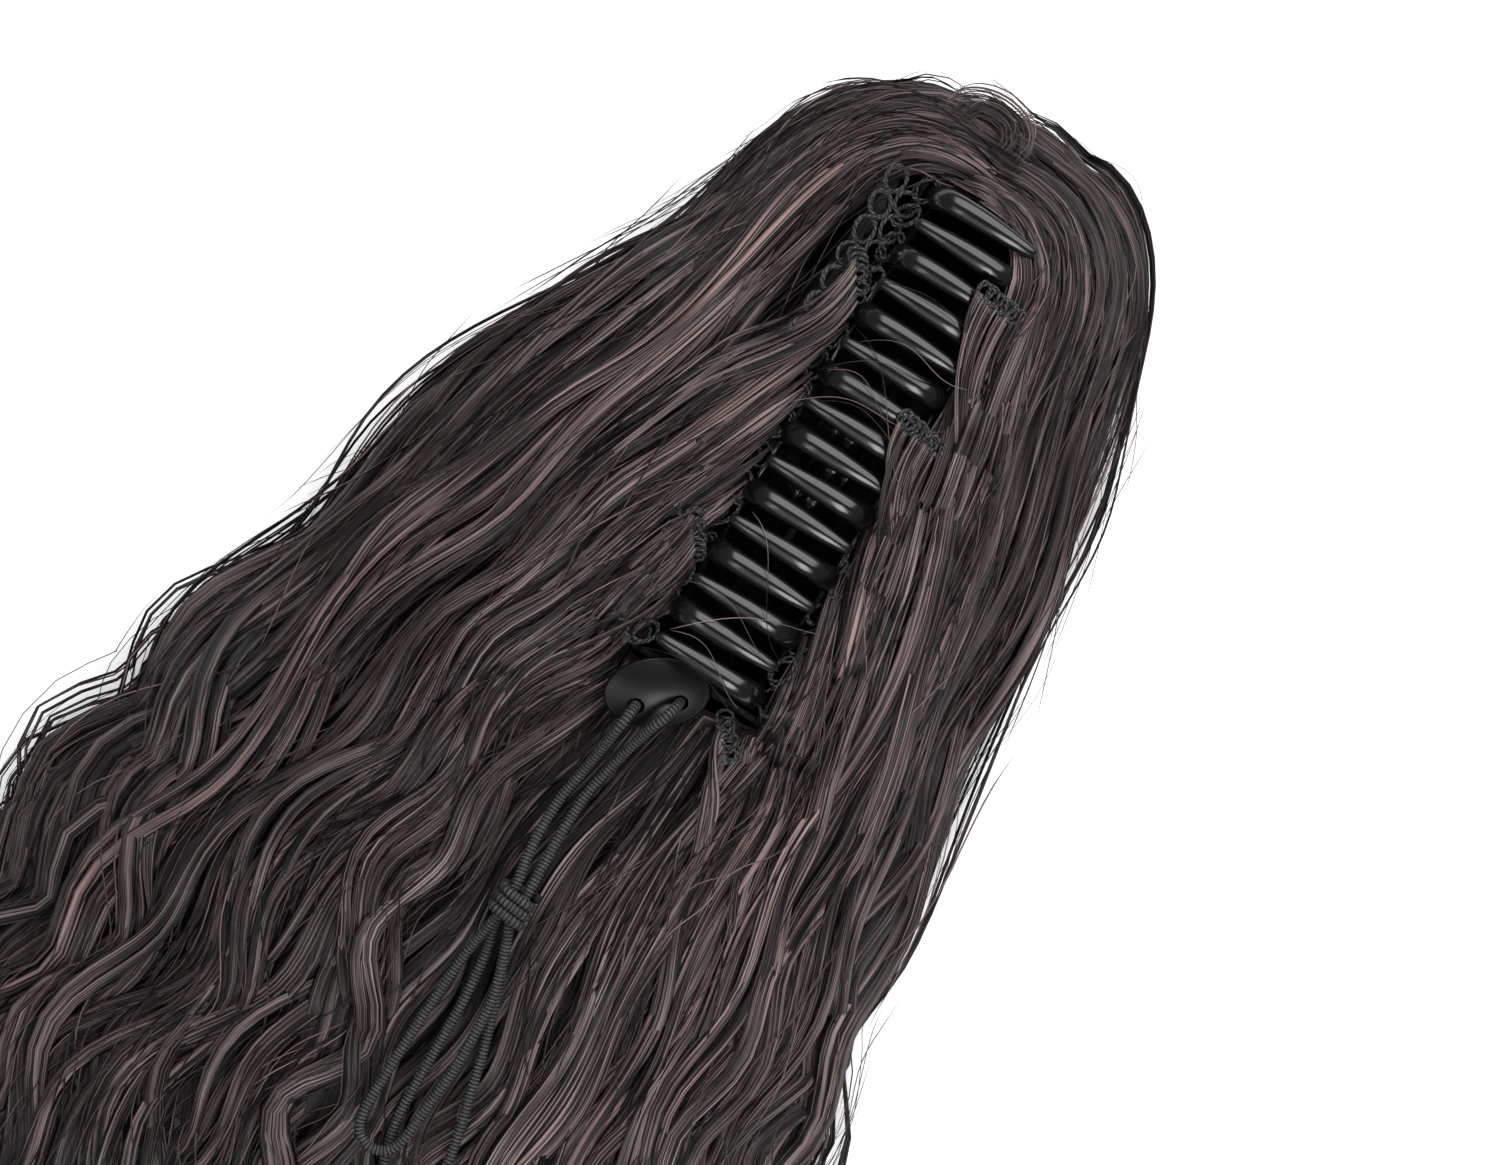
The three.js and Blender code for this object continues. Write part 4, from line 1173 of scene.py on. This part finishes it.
for side in (-1, 1):
    for place in loose_places:
        end_y = tip_y + random.uniform(0, loose_spread)
        guides.append((side, place, 0.5, guide(side, place, 0.5, end_y, loose=1.0)))
for place in more_crown_places:
    end_y = tip_y + random.uniform(0, loose_spread)
    guides.append((1, place, 1.0, guide(1, place, 1.0, end_y, crown=True)))
guide_lines = np.stack([line for *_, line in guides])
guide_side = np.array([side for side, *_ in guides])
guide_depth = np.array([depth for _, _, depth, _ in guides])
guide_place = np.array([place for _, place, *_ in guides])
guide_tone = random.uniform(0, 1, len(guides))
print(len(guides), "guides")


# %% Clumps round the guides
swells = 5.5
drift_size = 0.6
drift_turns = (8, 26)


def around(lines, count, radius, flat, spin, tight):
    """count lines round each guide, and how far up its lock each point lies, from -1 to 1.
    Each keeps its own place in a flat oval round the guide, which turns slowly on the way
    down, and draws in and opens out again with the waves."""
    n, m, _ = lines.shape
    angle = random.uniform(0, 2 * np.pi, (n, count, 1))
    away = np.sqrt(random.uniform(0.02, 1, (n, count, 1)))
    share = np.linspace(0, 1, m)[None, None]
    angle = angle + spin * random.normal(0, 1, (n, count, 1)) * share
    phase = random.uniform(0, full_turn, (n, 1, 1))
    size = away * radius * (1 + tight * np.sin(share * 2 * np.pi * swells + phase))
    drift = random.normal(0, 1, (n, count, 1))
    drift = drift * np.sin(share * random.uniform(*drift_turns, (n, count, 1)))
    x = size * np.cos(angle) + drift_size * drift * smooth(share, 0.05, 0.3)
    moved = lines[:, None] + x[..., None] * sideways(lines)[:, None]
    moved[..., 2] += size * np.sin(angle) * flat
    return moved.reshape(n * count, m, 3), (away * np.sin(angle)).reshape(n * count, m)


# %% Room for the claw and the floor
head_round_from, head_round = 36, 20.5
teeth_half, net_half = 12.8, 17.0


def settle(lines, high):
    """Keeps the strands over the floor, out of the claw's trough and under the cord. Over
    the net's lips a strand may come in to the teeth, and at the head's end further, along
    a quarter of an ellipse."""
    x, y, z = lines[..., 0], lines[..., 1], lines[..., 2]
    z = np.maximum(z, high + 0.2)
    z = np.minimum(z, cord_bed(x, y) - high)
    beside = (y < claw_head) & (y > claw_tail)
    past = np.clip(y - head_round_from, 0, None) / head_round
    rounded = np.sqrt(np.clip(1 - past**2, 0, 1))
    nearest = np.where(z > lip_z(x), teeth_half * rounded, net_half)
    held = np.where(beside & (np.abs(x) < nearest), np.sign(x) * nearest, x)
    return np.stack([held, y, z], axis=-1)


def local_light(line):
    """A share of painted light: painted shade that darkens the hair to the left and down the tail.
    """
    return 1 - 0.3 * smooth(-line[..., 0], -15, 60) * smooth(-line[..., 1], -60, 110)


# %% Locks as one piece
lock_root, lock_full, lock_tip = 2.2, 6.4, 0.45
clump_root, clump_tip = 0.12, 0.1
clump_thickness = (0.18, 0.28)
own_tone, least_light = 0.4, 0.03


def locks(name, chosen, count, half_width, painted_light, replaced=None, section=flat_profile):
    """The clumps of the chosen guides as one piece. A lock opens out below its root, and
    each clump thins out near its tip. Its painted light darkens it as painted shade: a clump low
    in its lock gets less of it, and so does hair to the left and down the tail."""
    lines = guide_lines[chosen]
    share = np.linspace(0, 1, steps)
    radius = blend(lock_root, lock_full, smooth(share, 0.0, 0.3))
    radius = radius * blend(1, lock_tip, smooth(share, 0.86, 1))
    lines, lift = around(lines, count, radius, flat=0.42, spin=2.4, tight=0.33)
    n = len(lines)
    fade = smooth(share, random.uniform(0.78, 0.9, (n, 1)), 1)
    wide = random.uniform(*half_width, (n, 1)) * blend(clump_root, 1, smooth(share, 0, 0.05))
    wide = wide * blend(1, clump_tip, fade)
    high = wide * random.uniform(*clump_thickness, (n, 1))
    roll = random.normal(0, 0.2, (n, 1)) + random.normal(0, 0.4, (n, 1)) * share
    tone = blend(np.repeat(guide_tone[chosen], count), random.uniform(0, 1, n), own_tone)
    # Painted shade: clumps low in their lock, pieces deep in the hair and hair to the left and down
    # the tail are painted darker.
    painted_lit = np.clip((0.5 + 0.62 * lift) * painted_light * local_light(lines), least_light, 1)
    made = tubes(name, settle(lines, high + 0.35 * wide), wide, high, section, fibre,
                 roll, {"tone": tone, "painted_light": painted_lit})
    if replaced:
        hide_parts(replaced)


# %% The six pieces of locks
upper = guide_depth > 0.8
rim = guide_place > 1.0
top_left = (guide_side < 0) & (guide_depth > 0.95)
second_left = (guide_side < 0) & upper & (guide_depth < 0.95)
left, right, middle = (upper & (guide_side == side) for side in (-1, 1, 0))
# The number after the widths is each piece's painted light: the second and deep layers are painted
# darker as shade under the top ones.
locks("locks_left_top", top_left, 9, (1.1, 2.0), 1.0, "tress_left")
locks("locks_left_second", second_left, 7, (1.5, 2.4), 0.6)
locks("locks_right", right, 7, (1.2, 2.1), 1.0, "tress_right")
locks("locks_middle", middle, 8, (1.3, 2.1), 1.1, "tress_end")
locks("locks_deep", ~upper & ~rim, 2, (3.0, 4.2), 0.3, "tress_under")
locks("locks_loose", rim, 12, (0.25, 0.5), 0.9, section=round_profile(3))

# %% [markdown]
# ## Wisps
# Thin strands lie over the locks and cross between them, and a few stray past the edges.
# More clumps would only thicken the locks, while a wisp breaks up their outline. Each
# follows a stretch of a guide, further out than the clumps, with a slow drift of its own.

# %% A stretch of a guide
wisp_steps = 19


def stretch_of(picked, at):
    """Points of the picked guides at station numbers that needn't be whole, on a smooth
    cubic through each guide's stations."""
    low = np.clip(at.astype(int), 1, steps - 3)
    before, start, end, after = (guide_lines[picked[:, None], low + i] for i in (-1, 0, 1, 2))
    return cubic(before, start, end, after, (at - low)[..., None])


# %% Wisps over the locks
stray_left, stray_right, stray_held = 9, 8, 0.45
wisp_dip = 2.4


def wisps(name, count, chosen, reach, long, thick, seed, lift, first=0.01):
    """count thin strands, each along a stretch of a guide in the chosen set. Each leaves the
    guide sideways by its own amount, slants across it, ripples, and dips at both ends. What
    strays far past the hair's edge is drawn in by a share."""
    draw = np.random.default_rng(seed)
    pick = draw.choice(np.flatnonzero(chosen), count)
    start = first + draw.uniform(0, 0.86, count) ** 1.35
    span = draw.uniform(*long, count)
    at = (start[:, None] + span[:, None] * np.linspace(0, 1, wisp_steps)) * (steps - 1)
    at = np.clip(at, 0, steps - 1.001)
    line = stretch_of(pick, at)
    t = np.linspace(-1, 1, wisp_steps)[None]
    off = draw.normal(0, 1, (count, 1)) * reach
    slant = draw.normal(0, 1, (count, 1)) * reach * 0.9 * t
    turn = t * draw.uniform(2, 6, (count, 1)) + draw.uniform(0, 6, (count, 1))
    ripple = draw.uniform(0.2, 1.2, (count, 1)) * np.sin(turn)
    line = line + ((off + slant + ripple) * smooth(at, 0, 12))[..., None] * sideways(line)
    x, y = line[..., 0], line[..., 1]
    past = np.maximum(x - edge(y, 2) - stray_right, 0) - np.maximum(edge(y, 1) - stray_left - x, 0)
    line[..., 0] -= stray_held * past
    line[..., 2] += lift + draw.uniform(-1.2, 1.6, (count, 1)) - wisp_dip * t * t
    wide = thick * draw.uniform(0.6, 1.4, (count, 1)) * blend(1, 0.2, smooth(np.abs(t), 0.7, 1))
    line = settle(line, wide)
    # Painted light: each wisp is darkened by a random share, as painted shade, and by the painted
    # shade to the left and down the tail.
    own = {"tone": 0.6 * guide_tone[pick] + draw.uniform(0, 0.5, count),
           "painted_light": draw.uniform(0.15, 1.0, (count, 1)) * local_light(line)}
    tubes(name, line, wide, wide * 0.8, round_profile(3), fibre, numbers=own)


near_edge = guide_place > 0.94
wisps("wisps_left", 1320, left, 4.6, (0.10, 0.2), thick=0.19, seed=11, lift=1.9)
wisps("wisps_right", 860, right, 4.0, (0.10, 0.2), thick=0.19, seed=12, lift=1.9)
wisps("wisps_middle", 330, middle, 4.0, (0.10, 0.2), thick=0.19, seed=13, lift=1.0)
wisps("wisps_at_edges", 560, near_edge, 5.2, (0.08, 0.18), thick=0.11, seed=14, lift=0.0,
      first=0.03)

# %% [markdown]
# ## Bundles tied to the bands
# From each band a small bundle hangs over the locks and sinks into them. A bundle could be
# a copied lock, but it has to start in the band's row of knots. So its strands start side by
# side along that row, and then follow the lane that passes there.

# %% Bundles tied to the bands
bundle_steps = 26
bundle_strands = 17
bundle_lengths = (62, 58, 60, 55, 45)
first_bundle_seed = 31


def lane_place(side, x, y):
    """The place of the lane that passes x at y, from the lane's formula turned round."""
    rooted = rooted_at(y)
    share = (x - side * shown_root) / (outer(side, y) - side * shown_root)
    return rooted + np.clip(share, 0, 1) * (1 - rooted)


def bundle(middle, reach, count, long, seed):
    """Strands in a row from a band's knots. They start over it, follow the lane that passes
    there, fan out a little and sink into the locks."""
    draw = np.random.default_rng(seed)
    middle, reach = np.array(middle), np.array(reach)
    side = 1 if middle[0] > 0 else -1
    row = np.linspace(-1, 1, count) + draw.normal(0, 0.05, count)
    start = middle + row[:, None] * reach * 1.1
    length = draw.uniform(0.75, 1.15, (count, 1)) * long
    t = np.linspace(0, 1, bundle_steps)[None]
    y = start[:, 1:2] - 1.0 - length * t
    place = lane_place(side, start[:, 0] + side * 2.0, start[:, 1])[:, None]
    lane = lane_x(side, place + draw.normal(0, 0.012, (count, 1)) * t, y, shown_root)
    sway = 0.7 * np.sin(t * 7 + draw.uniform(0, 6, (count, 1))) * t
    x = blend(start[:, 0:1], lane, smooth(t, 0, 0.55)) + sway
    bed = surface_z(x, y) + 1.6
    z = blend(start[:, 2:3] + 0.3, bed, smooth(t, 0, 0.3)) - 4.0 * smooth(t, 0.75, 1)
    z = np.maximum(z, np.where(y > claw_tail, lip_z(x) + 0.8, 0))
    wide = draw.uniform(0.38, 0.62, (count, 1)) * blend(1, 0.3, smooth(t, 0.7, 1))
    return np.stack([x, y, z], axis=2), wide, draw.uniform(0.0, 0.65, count)


tied = [bundle(middle, reach, bundle_strands, long, first_bundle_seed + i)
        for i, ((_, middle, reach), long) in enumerate(zip(bands, bundle_lengths))]
tied_lines, tied_wide, tied_tone = (np.concatenate(parts) for parts in zip(*tied))
# The bundles carry a painted light of 0.8, a slight painted shade.
tubes("tied_bundles", tied_lines, tied_wide, tied_wide * 0.7, round_profile(5), fibre,
      numbers={"tone": tied_tone, "painted_light": np.full(len(tied_tone), 0.8)})

# %% [markdown]
# ## Stray hairs
# A few single hairs lie across the teeth, and a small loop stands out at the crown, left of
# the parting. Real hairs are thinner than a pixel here, so these are drawn a little thicker.
# Each is an arc between two ends, which is enough for so thin a line.

# %% Hairs across the teeth
stray_steps = 22
hairs_across = 12
hair_height_from, hair_rise, hair_bend = 47.5, 3.9, 2.5
stray = np.random.default_rng(53)
from_x = stray.uniform(-15, -9, hairs_across)
from_y = stray.uniform(-58, 40, hairs_across)
to_x = stray.uniform(9, 16, hairs_across)
to_y = from_y + stray.uniform(-26, 22, hairs_across)
level = np.full(hairs_across, hair_height_from)
across_from = np.stack([from_x, from_y, level], axis=1)
across_to = np.stack([to_x, to_y, level], axis=1)
t = np.linspace(0, 1, stray_steps)[None, :, None]
over_teeth = blend(across_from[:, None], across_to[:, None], t)
over_teeth[..., 2] += hair_rise * np.sin(np.pi * t[..., 0]) ** 0.5
bends = stray.uniform(1, 2, (hairs_across, 1))
over_teeth[..., 1] += hair_bend * np.sin(np.pi * t[..., 0] * bends)
print(hairs_across, "hairs across the teeth")

# %% The loop at the crown
loop_hairs = 34
loop_x, loop_y, loop_z = -10.0, 70.5, 35.0
loop_turn = np.linspace(-0.35, np.pi * 1.05, stray_steps)[None]
loop_size = stray.uniform(3.0, 8.5, (loop_hairs, 1))
crown_loop = np.stack([
    loop_x + loop_size * 1.25 * np.cos(loop_turn),
    loop_y + loop_size * np.sin(loop_turn) + stray.normal(0, 1.0, (loop_hairs, 1)),
    loop_z - 1.2 * loop_size * np.sin(loop_turn) + stray.normal(0, 1.2, (loop_hairs, 1)),
], axis=2)
stray_lines = np.concatenate([over_teeth, crown_loop])
loop_wide = 0.2 * np.sin(np.linspace(0.1, 3.0, stray_steps)) * np.ones((loop_hairs, 1))
stray_wide = np.concatenate([np.full((hairs_across, stray_steps), 0.09), loop_wide])
stray_tone = stray.uniform(0.2, 0.8, len(stray_lines))
# The stray hairs carry a painted light of 0.9, a slight painted shade.
tubes("stray_hairs", stray_lines, stray_wide, stray_wide, round_profile(4), fibre,
      numbers={"tone": stray_tone, "painted_light": np.full(len(stray_lines), 0.9)})

# %% [markdown]
# ## The core
# Between real locks one sees more hair, ever darker in its shade, and never the table. Filling
# the whole depth with clumps would cost too many faces. A plain closed form just under the
# locks, in the same material with hardly any painted light, is painted shade that gives the
# same dark ground.

# %% Dark core under the locks
core_y = np.concatenate([np.linspace(66, -60, 43), np.linspace(-64, -345, 60)])
core_u = np.linspace(-1, 1, 31)
core_inward, core_under, core_floor = 8, 6.5, 1.2
tail_inward, tail_under = 34, 12
claw_clear, claw_clear_z = 18.5, 6.0
# The core's painted light is low, so that it is painted near black as the shade between the locks.
core_tone, core_painted_light = 0.1, 0.12


def core_ring(y):
    """The hair's section drawn in by a few millimetres, and by more near the tail's end,
    and lowered where the claw lies."""
    tail = smooth(-y, 230, 345)
    inward = core_inward + tail_inward * tail
    x = blend(edge(y, 1) + inward, edge(y, 2) - inward, (core_u + 1) / 2)
    z = np.maximum(surface_z(x, y) - core_under - tail_under * tail, 3.0)
    z = np.minimum(z, cord_bed(x, np.full_like(x, y)) - 4)
    if y > -62:
        z = np.where(np.abs(x) < claw_clear, claw_clear_z, z)
    top_side = np.stack([x, np.full_like(x, y), z], axis=1)
    low_side = np.stack([x[::-1], np.full_like(x, y), np.full_like(x, core_floor)], axis=1)
    return np.vstack([top_side, low_side])


core_points, core_faces = lofted([np.stack([core_ring(y) for y in core_y])])
piece("hair_core", core_points, core_faces, fibre, core_points[:, :2],
      {"tone": np.full(len(core_points), core_tone),
       "painted_light": np.full(len(core_points), core_painted_light)})

# %% [markdown]
# ## The floor and the studio
# A white floor, a dim white room and large soft lights. The long lights stand on the two
# sides that the teeth's flanks face, so each flank reflects one, and the crease between
# them reflects the dim room. A light straight above would whiten the whole tooth.

# %% Floor
floor_size = 3.0
floor_drop = 0.5 * mm
floor_white, floor_glow = (0.9, 0.9, 0.9, 1.0), 0.25
white = (1.0, 1.0, 1.0, 1.0)
corner = np.array([[-1, -1], [1, -1], [1, 1], [-1, 1]]) * floor_size
floor_mesh = bpy.data.meshes.new("floor")
floor_mesh.from_pydata([(x, y, -floor_drop) for x, y in corner.tolist()], [], [(0, 1, 2, 3)])
floor = bpy.data.objects.new("floor", floor_mesh)
bpy.context.collection.objects.link(floor)
floor_mesh.materials.append(material(
    "white_floor", {"Base Color": floor_white, "Roughness": 0.9,
                    "Emission Color": white, "Emission Strength": floor_glow}))
print("floor", 2 * floor_size, "m wide")



# %% Lights
def soft_light(name, place, size, glow):
    """A rectangular light at a place beside the claw, turned towards it. Its power is its
    glow, the same from each point, times its area times pi."""
    data = bpy.data.lights.new(name, "AREA")
    data.shape = "RECTANGLE"
    data.size, data.size_y = size
    data.energy = glow * size[0] * size[1] * math.pi
    lamp = bpy.data.objects.new(name, data)
    lamp.location = claw + np.array(place)
    x, y, z = place
    lamp.rotation_euler = (math.atan2(math.hypot(x, y), z), 0.0, math.atan2(x, -y))
    bpy.context.collection.objects.link(lamp)


soft_light("light_head_end", (0.0, 0.72, 0.82), size=(1.9, 0.9), glow=3.8)
soft_light("light_tail_end", (0.0, -0.66, 0.85), size=(1.9, 0.5), glow=1.1)
soft_light("light_tail_right", (0.46, -0.60, 0.86), size=(0.40, 0.45), glow=8.0)
soft_light("light_tail_left", (-0.52, -0.60, 0.86), size=(0.2, 0.4), glow=2.5)

# %% The dim white room
room_glow = 0.22
world = bpy.data.worlds.new("studio")
world.use_nodes = True
background = world.node_tree.nodes["Background"]
background.inputs["Color"].default_value = white
background.inputs["Strength"].default_value = room_glow
bpy.context.scene.world = world
bpy.context.scene.view_settings.view_transform = "Standard"
print("four lights and a room of", room_glow)
